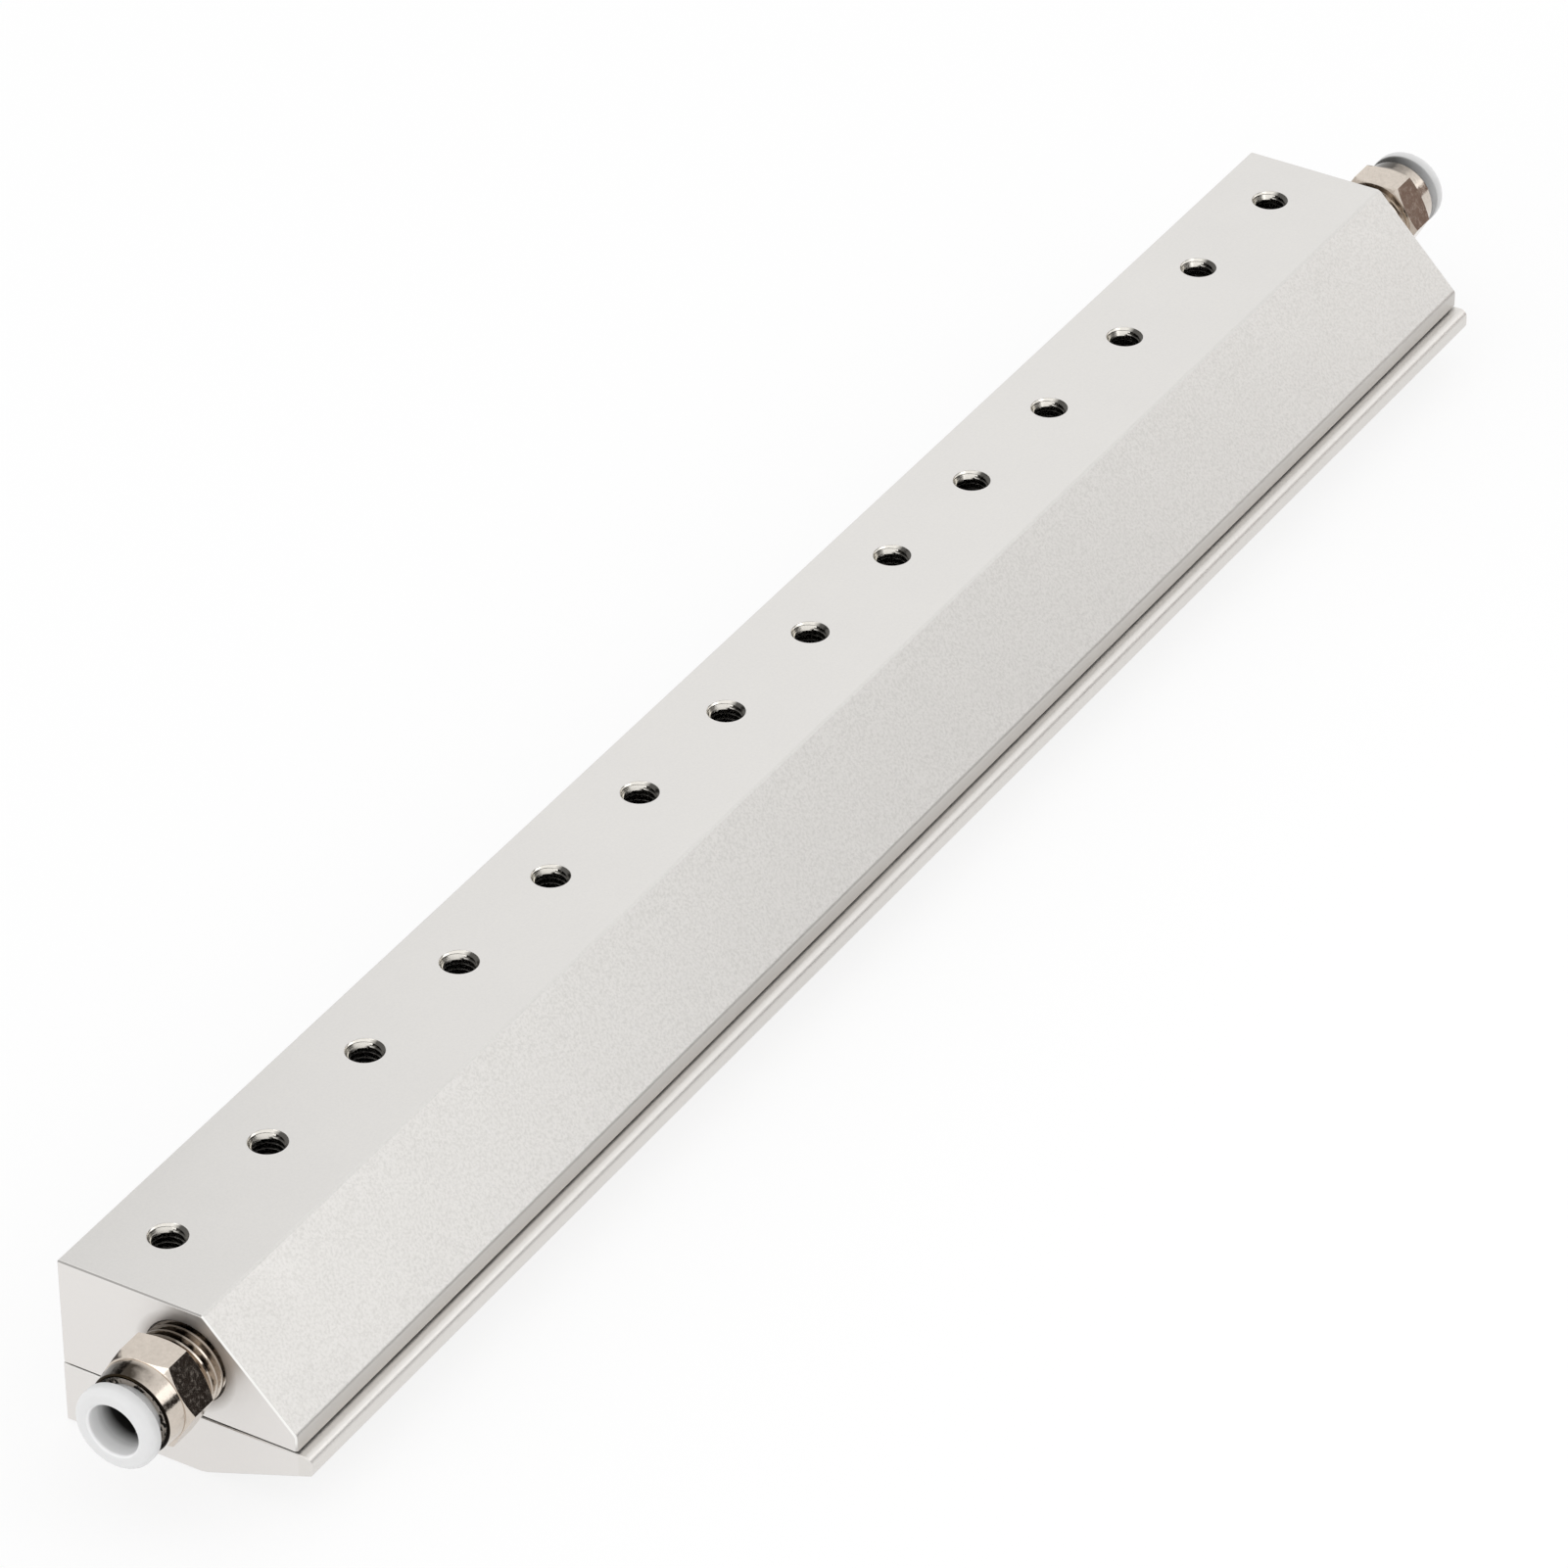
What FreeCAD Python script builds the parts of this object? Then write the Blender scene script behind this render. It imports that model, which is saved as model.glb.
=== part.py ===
# Compressed air knife. Two aluminium halves are clamped on a thin shim, which leaves a slot along
# the nose. Air enters at both ends through push-in tube fittings, fills the plenum milled in the
# upper half and leaves as a flat sheet over the rounded lip of the lower half.
# Lengths are millimetres. X runs along the knife, the nose points towards -Y and Z is up. The origin
# is under the middle of the whole knife, on the plane of its foot face.
import FreeCAD, Part
import os
import re
import Sketcher

TINY = 1e-5
SIDES = {"left": -1, "right": 1}

# Driving sizes, each with its meaning
SIZES = {
    "body_length": (350.0, "length of both halves"),
    "upper_depth": (39.5, "back face to nose of the upper half"),
    "upper_height": (18.0, "height of the upper half"),
    "top_land": (24.6, "flat top, from the back face to the slope"),
    "nose_height": (2.6, "upright band of the upper nose"),
    "lower_height": (10.1, "height of the lower half"),
    "foot_land": (23.3, "flat underside, from the back face to its slope"),
    "nose_round": (1.0, "radius between the slope and the nose"),
    "lip_reach": (2.3, "how far the lip stands past the upper nose"),
    "lip_height": (3.1, "height of the lip's front"),
    "lip_round": (1.2, "radius over which the air sheet bends"),
    "lip_heel": (0.5, "radius under the lip"),
    "foot_round": (6.0, "radius between the foot and the underside slope"),
    "edge_break": (0.3, "bevel on the upper half's outer edges"),
    "end_break": (0.15, "bevel round the lower half's ends"),
    "shim_thickness": (0.4, "shim, and so the air slot"),
    "shim_inset": (0.7, "shim edge inside the outline"),
    "shim_leg": (9.0, "width of the shim's end legs"),
    "shim_margin": (0.6, "shim edge clear of the plenum"),
    "plenum_width": (12.0, "plenum, as wide as its end mill"),
    "plenum_roof": (6.0, "wall over the plenum"),
    "plenum_end": (13.0, "wall at the plenum's ends"),
    "plenum_wall": (2.0, "wall between plenum and screws"),
    "screw_pitch": (25.0, "spacing of the clamp screws"),
    "screw_from_back": (10.3, "back face to the row of screws"),
    "screw_diameter": (6.0, "thread size of the clamp screws"),
    "screw_length": (16.0, "screw length under the head"),
    "screw_fit": (0.05, "radial gap between screw and tapped hole"),
    "screw_passage": (6.6, "clearance hole in lower half and shim"),
    "tap_mouth": (6.1, "countersink at the top of a tapped hole"),
    "head_diameter": (10.0, "screw head"),
    "head_height": (6.0, "screw head"),
    "socket_flats": (5.0, "hexagon socket in the head"),
    "socket_depth": (3.0, "hexagon socket in the head"),
    "well_diameter": (11.0, "counterbore for the head"),
    "well_depth": (6.5, "counterbore for the head"),
    "pipe_diameter": (13.16, "taper pipe thread at the body's end face"),
    "pipe_taper": (0.0625, "growth of the thread's diameter per length"),
    "pipe_engagement": (8.5, "thread inside the port"),
    "pipe_exposed": (4.4, "thread between end face and hexagon"),
    "pipe_lead": (0.8, "bevel at the thread's inner end"),
    "pipe_fit": (0.03, "radial gap between the two threads"),
    "port_roof": (2.7, "wall over the port"),
    "port_depth": (10.5, "taper tapped depth of the port"),
    "port_drill": (11.0, "drilling from the port to the plenum"),
    "port_mouth": (0.25, "bevel at the port"),
    "hexagon_flats": (14.0, "spanner size of the fitting"),
    "hexagon_length": (5.6, "length of the hexagon"),
    "hexagon_bevel": (0.58, "bevel length per height, 30 degrees"),
    "shoulder_diameter": (13.7, "turned shoulder where it meets the hexagon"),
    "mouth_diameter": (13.0, "turned shoulder at the fitting's mouth"),
    "shoulder_length": (3.5, "turned shoulder in front of the hexagon"),
    "mouth_bevel": (0.3, "bevel round the fitting's mouth"),
    "mouth_lead": (0.35, "bevel inside the fitting's mouth"),
    "air_bore": (6.0, "air way through the fitting"),
    "seat_diameter": (8.1, "socket that holds the tube's end"),
    "seat_length": (4.0, "socket that holds the tube's end"),
    "seat_lead": (0.3, "bevel at the tube socket"),
    "cavity_diameter": (11.5, "bore that holds the rings"),
    "cavity_depth": (9.1, "bore that holds the rings"),
    "ring_fit": (0.03, "radial gap round the rings"),
    "seal_length": (1.9, "lip seal along the tube"),
    "seal_heel": (0.8, "solid back of the lip seal"),
    "seal_lip": (0.5, "thickness of a sealing lip"),
    "spacer_length": (1.75, "spacer ring along the tube"),
    "spacer_wall": (0.5, "spacer ring"),
    "grip_thickness": (0.3, "sheet of the grip ring"),
    "grip_rim": (0.65, "flat rim of the grip ring"),
    "grip_lean": (0.9, "how far the claws lean inwards"),
    "claw_count": (8, "claws round the tube"),
    "claw_slot": (0.8, "slot between two claws"),
    "guide_recess": (0.4, "guide ring's front inside the mouth"),
    "guide_lip": (1.2, "part of the guide ring that bears the collar"),
    "guide_wall": (0.4, "guide ring behind its lip"),
    "collar_bore": (8.3, "tube hole of the collar"),
    "collar_sleeve": (9.6, "sleeve of the collar"),
    "collar_fit": (0.05, "radial running gap of the sleeve"),
    "collar_barb": (0.3, "step that keeps the collar in"),
    "collar_nose": (1.6, "length of the barb"),
    "claw_gap": (0.1, "gap left between the pushed collar and the claws"),
    "collar_slot": (0.8, "slot in the collar's sleeve"),
    "collar_slots": (4, "slots in the collar's sleeve"),
    "collar_travel": (1.7, "stroke of the collar"),
    "collar_stop": (0.1, "gap left at either end of the stroke"),
    "flange_diameter": (13.2, "push flange of the collar"),
    "flange_thickness": (2.5, "push flange of the collar"),
    "flange_round": (1.1, "outer radius of the push flange"),
    "flange_mouth": (0.7, "bevel at the tube hole"),
}

# Places worked out from the driving sizes
BACK = "(upper_depth + lip_reach) / 2"
JOINT = "(lower_height + shim_thickness)"
SCREWS = "floor(body_length / screw_pitch + 1 / 1000)"
FIRST_SCREW = "-screw_pitch * (" + SCREWS + " - 1) / 2"
PORT_IN = "(screw_from_back + screw_diameter / 2 + plenum_wall + plenum_width / 2)"
PORT_UP = "(upper_height - port_roof - pipe_diameter / 2 - pipe_fit)"
DRILL_END = "(plenum_end + plenum_width / 2)"
HEXAGON_FRONT = "(pipe_exposed + hexagon_length)"
MOUTH = "(pipe_exposed + hexagon_length + shoulder_length)"
FLOOR = "(" + MOUTH + " - cavity_depth)"
SEAT_STOP = "(" + FLOOR + " - seat_length)"
SPACER_START = "(" + FLOOR + " + seal_length)"
GRIP_START = "(" + SPACER_START + " + spacer_length)"
GUIDE_START = "(" + GRIP_START + " + grip_thickness)"
GUIDE_FRONT = "(" + MOUTH + " - guide_recess)"
GUIDE_STEP = "(" + GUIDE_FRONT + " - guide_lip)"
RING_RADIUS = "(cavity_diameter / 2 - ring_fit)"
BARB_END = "(" + GUIDE_STEP + " - collar_stop)"
BARB_START = "(" + BARB_END + " - collar_nose)"
FLANGE_BACK = "(" + MOUTH + " + collar_travel + collar_stop)"
FLANGE_FRONT = "(" + FLANGE_BACK + " + flange_thickness)"
BARB_RADIUS = "(collar_sleeve / 2 + collar_barb)"
NOSE_RADIUS = "(collar_sleeve / 2 - collar_barb)"
GRIP_BEND = "(" + RING_RADIUS + " - grip_rim)"
CLAW_SLOPE = "(grip_lean / (" + GRIP_BEND + " - seat_diameter / 2))"
CLAW_FACE = "(" + GUIDE_START + " - " + CLAW_SLOPE + " * (" + GRIP_BEND + " - " + NOSE_RADIUS + "))"
NOSE_START = "(" + CLAW_FACE + " + claw_gap + collar_travel)"


def formula(text):
    """Point every size name in an expression at the sheet."""
    return re.sub(r"[a-z_]+", lambda word: "Sizes." * (word.group() in SIZES) + word.group(), text)


def value(text):
    """Number that an expression of size names has now."""
    return float(FreeCAD.ActiveDocument.getObject("Sizes").evalExpression(formula(text)))


def bind(thing, field, text):
    """Tie one field of a feature to an expression of size names."""
    thing.setExpression(field, formula(text))


def write_sheet(document):
    """Put each driving size in a cell of its own, under its name."""
    sheet = document.addObject("Spreadsheet::Sheet", "Sizes")
    for row, (name, (number, meaning)) in enumerate(SIZES.items(), 1):
        sheet.set("A%d" % row, name)
        sheet.set("B%d" % row, str(number))
        sheet.set("C%d" % row, meaning)
        sheet.setAlias("B%d" % row, name)
    document.recompute()


def origin_part(body, role):
    """Origin plane or axis of a body."""
    return next(item for item in body.Origin.OriginFeatures if item.Role == role)


def new_body(document, node, x="0", y="0", z="0"):
    """Start a sub-part at a place given by three expressions."""
    body = document.addObject("PartDesign::Body", node)
    body.Label = node
    for axis, place in zip("xyz", (x, y, z)):
        bind(body, "Placement.Base." + axis, place)
    return body


def new_sketch(body, name, plane, x="0", y="0", z="0"):
    """Start a sketch on an origin plane, shifted in the sketch's own axes."""
    sketch = body.newObject("Sketcher::SketchObject", name)
    sketch.AttachmentSupport = [(origin_part(body, plane), "")]
    sketch.MapMode = "FlatFace"
    for axis, place in zip("xyz", (x, y, z)):
        bind(sketch, "AttachmentOffset.Base." + axis, place)
    return sketch


def fix_point(sketch, item, end, x, y):
    """Hold one point of a sketch at a pair of expressions."""
    for kind, size in (("DistanceX", x), ("DistanceY", y)):
        index = sketch.addConstraint(Sketcher.Constraint(kind, -1, 1, item, end, value(size)))
        bind(sketch, "Constraints[%d]" % index, size)


def add_outline(sketch, corners):
    """Draw a closed outline of straight lines through corners given as expressions."""
    points = [FreeCAD.Vector(value(x), value(y), 0) for x, y in corners]
    first = sketch.GeometryCount
    following = [first + (index + 1) % len(points) for index in range(len(points))]
    for start, after in zip(points, points[1:] + points[:1]):
        sketch.addGeometry(Part.LineSegment(start, after), False)
    for index, after in enumerate(following):
        sketch.addConstraint(Sketcher.Constraint("Coincident", first + index, 2, after, 1))
    for index, (x, y) in enumerate(corners):
        fix_point(sketch, first + index, 1, x, y)


def add_circle(sketch, x, y, diameter):
    """Draw a circle by its centre and diameter."""
    centre = FreeCAD.Vector(value(x), value(y), 0)
    item = sketch.addGeometry(Part.Circle(centre, FreeCAD.Vector(0, 0, 1), value(diameter) / 2), False)
    fix_point(sketch, item, 3, x, y)
    index = sketch.addConstraint(Sketcher.Constraint("Diameter", item, value(diameter)))
    bind(sketch, "Constraints[%d]" % index, diameter)


def add_hexagon(sketch, flats):
    """Draw a hexagon round the sketch's origin with two corners on its X axis."""
    corner, half, flat = flats + " / sqrt(3)", flats + " / sqrt(12)", flats + " / 2"
    add_outline(sketch, [
        (corner, "0"), (half, flat), ("-" + half, flat),
        ("-" + corner, "0"), ("-" + half, "-" + flat), (half, "-" + flat),
    ])


def add_feature(body, kind, name, **fields):
    """Add a feature to a body and make it the body's result."""
    feature = body.newObject("PartDesign::" + kind, name)
    for field, setting in fields.items():
        setattr(feature, field, setting)
    body.Tip = feature
    return feature


def pad(body, name, sketch, length, **fields):
    """Extrude a sketch by a length."""
    feature = add_feature(body, "Pad", name, Profile=sketch, **fields)
    bind(feature, "Length", length)
    return feature


def cut(body, name, sketch, length, **fields):
    """Cut a sketch's outline by a depth."""
    feature = add_feature(body, "Pocket", name, Profile=sketch, **fields)
    bind(feature, "Length", length)
    return feature


def turn(body, name, corners, kind="Revolution", y="0", z="0"):
    """Turn a profile of (place along X, radius) pairs about an axis parallel to X."""
    sketch = new_sketch(body, name + "_profile", "XY_Plane", y=y, z=z)
    add_outline(sketch, corners)
    return add_feature(body, kind, name, Profile=sketch, ReferenceAxis=(sketch, ["H_Axis"]))


def round_edges(body, name, radius, chosen):
    """Round the chosen edges of a body's present shape."""
    FreeCAD.ActiveDocument.recompute()
    base = body.Tip
    feature = add_feature(body, "Fillet", name, Base=(base, edge_names(base, chosen)))
    bind(feature, "Radius", radius)
    return feature


def bevel_edges(body, name, size, chosen):
    """Bevel the chosen edges of a body's present shape."""
    FreeCAD.ActiveDocument.recompute()
    base = body.Tip
    feature = add_feature(body, "Chamfer", name, Base=(base, edge_names(base, chosen)))
    bind(feature, "Size", size)
    return feature


def edge_names(feature, chosen):
    """Names of the edges of a feature that a test picks."""
    names = ["Edge%d" % index for index, edge in enumerate(feature.Shape.Edges, 1) if chosen(edge)]
    if not names:
        raise RuntimeError("no edge found for " + feature.Name)
    return names


def circle_at(along, radius):
    """Test for the round edge of a radius at a place along the turning axis."""
    def chosen(edge):
        curve = edge.Curve
        return (
            isinstance(curve, Part.Circle)
            and abs(curve.Radius - value(radius)) < TINY
            and abs(curve.Center.x - value(along)) < TINY
        )
    return chosen


def line_along(y, z):
    """Test for the straight edge along X at a place across it."""
    def chosen(edge):
        middle = edge.CenterOfMass
        return (
            edge.BoundBox.XLength > TINY
            and edge.BoundBox.YLength < TINY
            and abs(middle.y - value(y)) < TINY
            and abs(middle.z - value(z)) < TINY
        )
    return chosen


def repeat_along(body, name, originals):
    """Repeat features at the screw pitch."""
    pattern = add_feature(
        body, "LinearPattern", name,
        Originals=originals, Direction=(origin_part(body, "X_Axis"), [""]), Mode="Spacing",
    )
    bind(pattern, "Offset", "screw_pitch")
    bind(pattern, "Occurrences", SCREWS)
    return pattern


def repeat_round(body, name, originals, count):
    """Repeat features round the X axis."""
    pattern = add_feature(
        body, "PolarPattern", name,
        Originals=originals, Axis=(origin_part(body, "X_Axis"), [""]),
    )
    bind(pattern, "Occurrences", count)
    return pattern


def screw_hole(body, name, diameter, reverse=False, z="0"):
    """Drill one hole right through at the first screw's place."""
    sketch = new_sketch(body, name + "_centre", "XY_Plane", z=z)
    add_circle(sketch, FIRST_SCREW, "-screw_from_back", diameter)
    FreeCAD.ActiveDocument.recompute()
    hole = add_feature(body, "Hole", name, Profile=sketch, DepthType="ThroughAll", Reversed=reverse)
    bind(hole, "Diameter", diameter)
    return hole


def bar(body, corners):
    """Extrude a section of (depth, height) pairs along the knife, centred on the row's X."""
    sketch = new_sketch(body, "section", "YZ_Plane")
    add_outline(sketch, corners)
    return pad(body, "bar", sketch, "body_length", SideType="Symmetric")


def upper_edges(edge):
    """Test for the upper half's outer edges, without those at the joint and round the nose."""
    at_end = edge.BoundBox.XLength < TINY and edge.CenterOfMass.z > TINY
    along_top = edge.BoundBox.XLength > TINY and abs(edge.CenterOfMass.z - value("upper_height")) < TINY
    return at_end or along_top


def end_edges(edge):
    """Test for the edges round a bar's two end faces."""
    return edge.BoundBox.XLength < TINY


def upper_half(document):
    """Half with the flat top, the long slope, the plenum, the end ports and the tapped holes."""
    body = new_body(document, "upper_half", y=BACK, z=JOINT)
    bar(body, [
        ("0", "0"),
        ("0", "upper_height"),
        ("-top_land", "upper_height"),
        ("-upper_depth", "nose_height"),
        ("-upper_depth", "0"),
    ])
    round_edges(body, "nose_edge", "nose_round", line_along("-upper_depth", "nose_height"))
    bevel_edges(body, "edge_bevel", "edge_break", upper_edges)
    mill_plenum(body)
    port = turn(body, "port", port_profile(), "Groove", y="-" + PORT_IN, z=PORT_UP)
    add_feature(
        body, "Mirrored", "other_port",
        Originals=[port], MirrorPlane=(origin_part(body, "YZ_Plane"), [""]),
    )
    hole = screw_hole(body, "tapped_hole", "screw_diameter", z="upper_height")
    hole.HoleCutType = "Countersink"
    hole.HoleCutCustomValues = True
    bind(hole, "HoleCutDiameter", "tap_mouth")
    repeat_along(body, "tapped_holes", [hole])
    return body


def mill_plenum(body):
    """Cut the round ended pocket that spreads the air along the knife."""
    sketch = new_sketch(body, "plenum_outline", "XY_Plane")
    end, radius = "(body_length / 2 - " + DRILL_END + ")", "plenum_width / 2"
    near, far = PORT_IN + " - " + radius, PORT_IN + " + " + radius
    places = [(end, near), ("-" + end, near), ("-" + end, far), (end, far)]
    points = [FreeCAD.Vector(value(x), -value(y), 0) for x, y in places]
    centre = -value(PORT_IN)
    sketch.addGeometry(Part.LineSegment(points[0], points[1]), False)
    tip = FreeCAD.Vector(-value(end) - value(radius), centre, 0)
    sketch.addGeometry(Part.Arc(points[1], tip, points[2]), False)
    sketch.addGeometry(Part.LineSegment(points[2], points[3]), False)
    tip = FreeCAD.Vector(value(end) + value(radius), centre, 0)
    sketch.addGeometry(Part.Arc(points[3], tip, points[0]), False)
    for item, side in ((1, "-"), (3, "")):
        fix_point(sketch, item, 3, side + end, "-" + PORT_IN)
    for line, arc in ((0, 1), (2, 3)):
        join_slot(sketch, line, arc)
    index = sketch.addConstraint(Sketcher.Constraint("Radius", 1, value(radius)))
    bind(sketch, "Constraints[%d]" % index, radius)
    cut(body, "plenum", sketch, "upper_height - plenum_roof", Reversed=True)


def join_slot(sketch, line, arc):
    """Join a straight side of a slot to the arc after it and the arc before it."""
    before = 4 - arc
    for here, there in ((2, arc), (1, before)):
        gaps = {end: sketch.getPoint(line, here).distanceToPoint(sketch.getPoint(there, end)) for end in (1, 2)}
        nearest = min(gaps, key=gaps.get)
        sketch.addConstraint(Sketcher.Constraint("Tangent", line, here, there, nearest))


def port_profile():
    """Half section of the tapered port at the right end, with the drilling behind it."""
    face, radius = "body_length / 2", "(pipe_diameter / 2 + pipe_fit)"
    deep = "(" + face + " - port_depth)"
    return [
        (face + " - " + DRILL_END, "0"),
        (face + " - " + DRILL_END, "port_drill / 2"),
        (deep, "port_drill / 2"),
        (deep, radius + " - port_depth * pipe_taper / 2"),
        (face + " - port_mouth", radius + " - port_mouth * pipe_taper / 2"),
        (face, radius + " + port_mouth"),
        (face, "0"),
    ]


def lower_half(document):
    """Half with the foot, the underside slope, the rounded lip and the counterbored holes."""
    body = new_body(document, "lower_half", y=BACK)
    reach = "(upper_depth + lip_reach)"
    bar(body, [
        ("0", "0"),
        ("0", "lower_height"),
        ("-" + reach, "lower_height"),
        ("-" + reach, "lower_height - lip_height"),
        ("-foot_land", "0"),
    ])
    round_edges(body, "lip_bend", "lip_round", line_along("-" + reach, "lower_height"))
    round_edges(body, "lip_underside", "lip_heel", line_along("-" + reach, "lower_height - lip_height"))
    round_edges(body, "foot_edge", "foot_round", line_along("-foot_land", "0"))
    bevel_edges(body, "end_bevel", "end_break", end_edges)
    hole = screw_hole(body, "screw_hole", "screw_passage", reverse=True)
    hole.HoleCutType = "Counterbore"
    hole.HoleCutCustomValues = True
    bind(hole, "HoleCutDiameter", "well_diameter")
    bind(hole, "HoleCutDepth", "well_depth")
    repeat_along(body, "screw_holes", [hole])
    return body


def gap_shim(document):
    """U-shaped shim that closes the slot at the back and at both ends."""
    body = new_body(document, "gap_shim", y=BACK, z="lower_height")
    sketch = new_sketch(body, "outline", "XY_Plane")
    end = "(body_length / 2 - shim_inset)"
    inner = "(body_length / 2 - shim_leg)"
    strip = "-(" + PORT_IN + " - plenum_width / 2 - shim_margin)"
    nose = "-(upper_depth - shim_inset)"
    add_outline(sketch, [
        ("-" + end, "-shim_inset"), (end, "-shim_inset"), (end, nose), (inner, nose),
        (inner, strip), ("-" + inner, strip), ("-" + inner, nose), ("-" + end, nose),
    ])
    pad(body, "strip", sketch, "shim_thickness")
    hole = screw_hole(body, "screw_hole", "screw_passage", reverse=True)
    repeat_along(body, "screw_holes", [hole])
    return body


def clamp_screws(document):
    """Row of socket head screws, heads down in the wells of the lower half."""
    body = new_body(document, "clamp_screws", x=FIRST_SCREW, y=BACK + " - screw_from_back", z="well_depth")
    sketch = new_sketch(body, "profile", "XZ_Plane")
    shank = "screw_diameter / 2 - screw_fit"
    add_outline(sketch, [
        ("0", "-head_height"),
        ("head_diameter / 2", "-head_height"),
        ("head_diameter / 2", "0"),
        (shank, "0"),
        (shank, "screw_length"),
        ("0", "screw_length"),
    ])
    add_feature(body, "Revolution", "screw", Profile=sketch, ReferenceAxis=(sketch, ["V_Axis"]))
    socket = new_sketch(body, "socket_outline", "XY_Plane", z="-head_height")
    add_hexagon(socket, "socket_flats")
    cut(body, "socket", socket, "socket_depth", Reversed=True)
    pattern = repeat_along(body, "row", [])
    pattern.TransformMode = "Whole shape"
    return body


def fitting_piece(document, side, piece):
    """Start a piece of a fitting. Its +X points out of the knife, and X is 0 at the end face."""
    body = new_body(
        document, side + "_" + piece,
        x="%d * body_length / 2" % SIDES[side], y=BACK + " - " + PORT_IN, z=JOINT + " + " + PORT_UP,
    )
    if SIDES[side] < 0:
        body.Placement.Rotation = FreeCAD.Rotation(FreeCAD.Vector(0, 0, 1), 180)
    return body


def fitting_body(document, side):
    """Brass body with the taper thread, the hexagon, the shoulder and the stepped bore."""
    body = fitting_piece(document, side, "fitting_body")
    outline = new_sketch(body, "hexagon_outline", "YZ_Plane", z="pipe_exposed")
    add_hexagon(outline, "hexagon_flats")
    pad(body, "hexagon", outline, "hexagon_length")
    for name, place, inwards in (("front_bevel", HEXAGON_FRONT, "-"), ("back_bevel", "pipe_exposed", "+")):
        turn(body, name, [
            (place, "hexagon_flats / 2"),
            (place, "hexagon_flats"),
            (place + inwards + " hexagon_bevel * hexagon_flats / 2", "hexagon_flats"),
        ], "Groove")
    radius = "pipe_diameter / 2"
    turn(body, "thread", [
        ("-pipe_engagement", "0"),
        ("-pipe_engagement", radius + " - pipe_engagement * pipe_taper / 2 - pipe_lead"),
        ("-pipe_engagement + pipe_lead", radius + " - (pipe_engagement - pipe_lead) * pipe_taper / 2"),
        ("pipe_exposed", radius + " + pipe_exposed * pipe_taper / 2"),
        ("pipe_exposed", "0"),
    ])
    turn(body, "shoulder", [
        (HEXAGON_FRONT, "0"),
        (HEXAGON_FRONT, "shoulder_diameter / 2"),
        (MOUTH, "mouth_diameter / 2"),
        (MOUTH, "0"),
    ])
    turn(body, "stepped_bore", [
        ("-pipe_engagement", "0"),
        ("-pipe_engagement", "air_bore / 2"),
        (SEAT_STOP, "air_bore / 2"),
        (SEAT_STOP, "seat_diameter / 2"),
        (FLOOR + " - seat_lead", "seat_diameter / 2"),
        (FLOOR, "seat_diameter / 2 + seat_lead"),
        (FLOOR, "cavity_diameter / 2"),
        (MOUTH + " - mouth_lead", "cavity_diameter / 2"),
        (MOUTH, "cavity_diameter / 2 + mouth_lead"),
        (MOUTH, "0"),
    ], "Groove")
    edge_bevel = "min(mouth_bevel; (mouth_diameter - cavity_diameter) / 2 - mouth_lead - ring_fit)"
    bevel_edges(body, "mouth_edge", edge_bevel, circle_at(MOUTH, "mouth_diameter / 2"))
    return body


def tube_seal(document, side):
    """Lip seal that opens towards the pressure."""
    body = fitting_piece(document, side, "tube_seal")
    inner, outer = "seat_diameter / 2", RING_RADIUS
    heel = SPACER_START + " - seal_heel"
    turn(body, "seal", [
        (SPACER_START, inner),
        (SPACER_START, outer),
        (FLOOR, outer),
        (FLOOR, outer + " - seal_lip * 0.8"),
        (heel, outer + " - seal_lip"),
        (heel, inner + " + seal_lip"),
        (FLOOR, inner + " + seal_lip * 0.8"),
        (FLOOR, inner),
    ])
    return body


def spacer_ring(document, side):
    """Plain ring that keeps the claws off the seal."""
    body = fitting_piece(document, side, "spacer_ring")
    turn(body, "ring", [
        (SPACER_START, RING_RADIUS + " - spacer_wall"),
        (SPACER_START, RING_RADIUS),
        (GRIP_START, RING_RADIUS),
        (GRIP_START, RING_RADIUS + " - spacer_wall"),
    ])
    return body


def grip_ring(document, side):
    """Thin ring whose claws lean inwards round the tube."""
    body = fitting_piece(document, side, "grip_ring")
    tip = "seat_diameter / 2"
    turn(body, "dish", [
        (GRIP_START, RING_RADIUS),
        (GUIDE_START, RING_RADIUS),
        (GUIDE_START, GRIP_BEND),
        (GUIDE_START + " - grip_lean", tip),
        (GRIP_START + " - grip_lean", tip),
        (GRIP_START, GRIP_BEND),
    ])
    outline = new_sketch(body, "slot_outline", "YZ_Plane", z=GRIP_START + " - grip_lean * 2")
    add_outline(outline, [
        ("-claw_slot / 2", "0"), ("claw_slot / 2", "0"),
        ("claw_slot / 2", GRIP_BEND), ("-claw_slot / 2", GRIP_BEND),
    ])
    slot = cut(body, "slot", outline, "grip_lean * 4", Reversed=True)
    repeat_round(body, "slots", [slot], "claw_count")
    return body


def guide_ring(document, side):
    """Ring in the mouth. Its lip bears the collar's sleeve and holds back the barb."""
    body = fitting_piece(document, side, "guide_ring")
    bearing = "collar_sleeve / 2 + collar_fit"
    turn(body, "ring", [
        (GUIDE_START, RING_RADIUS + " - guide_wall"),
        (GUIDE_START, RING_RADIUS),
        (GUIDE_FRONT, RING_RADIUS),
        (GUIDE_FRONT, bearing),
        (GUIDE_STEP, bearing),
        (GUIDE_STEP, RING_RADIUS + " - guide_wall"),
    ])
    return body


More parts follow.
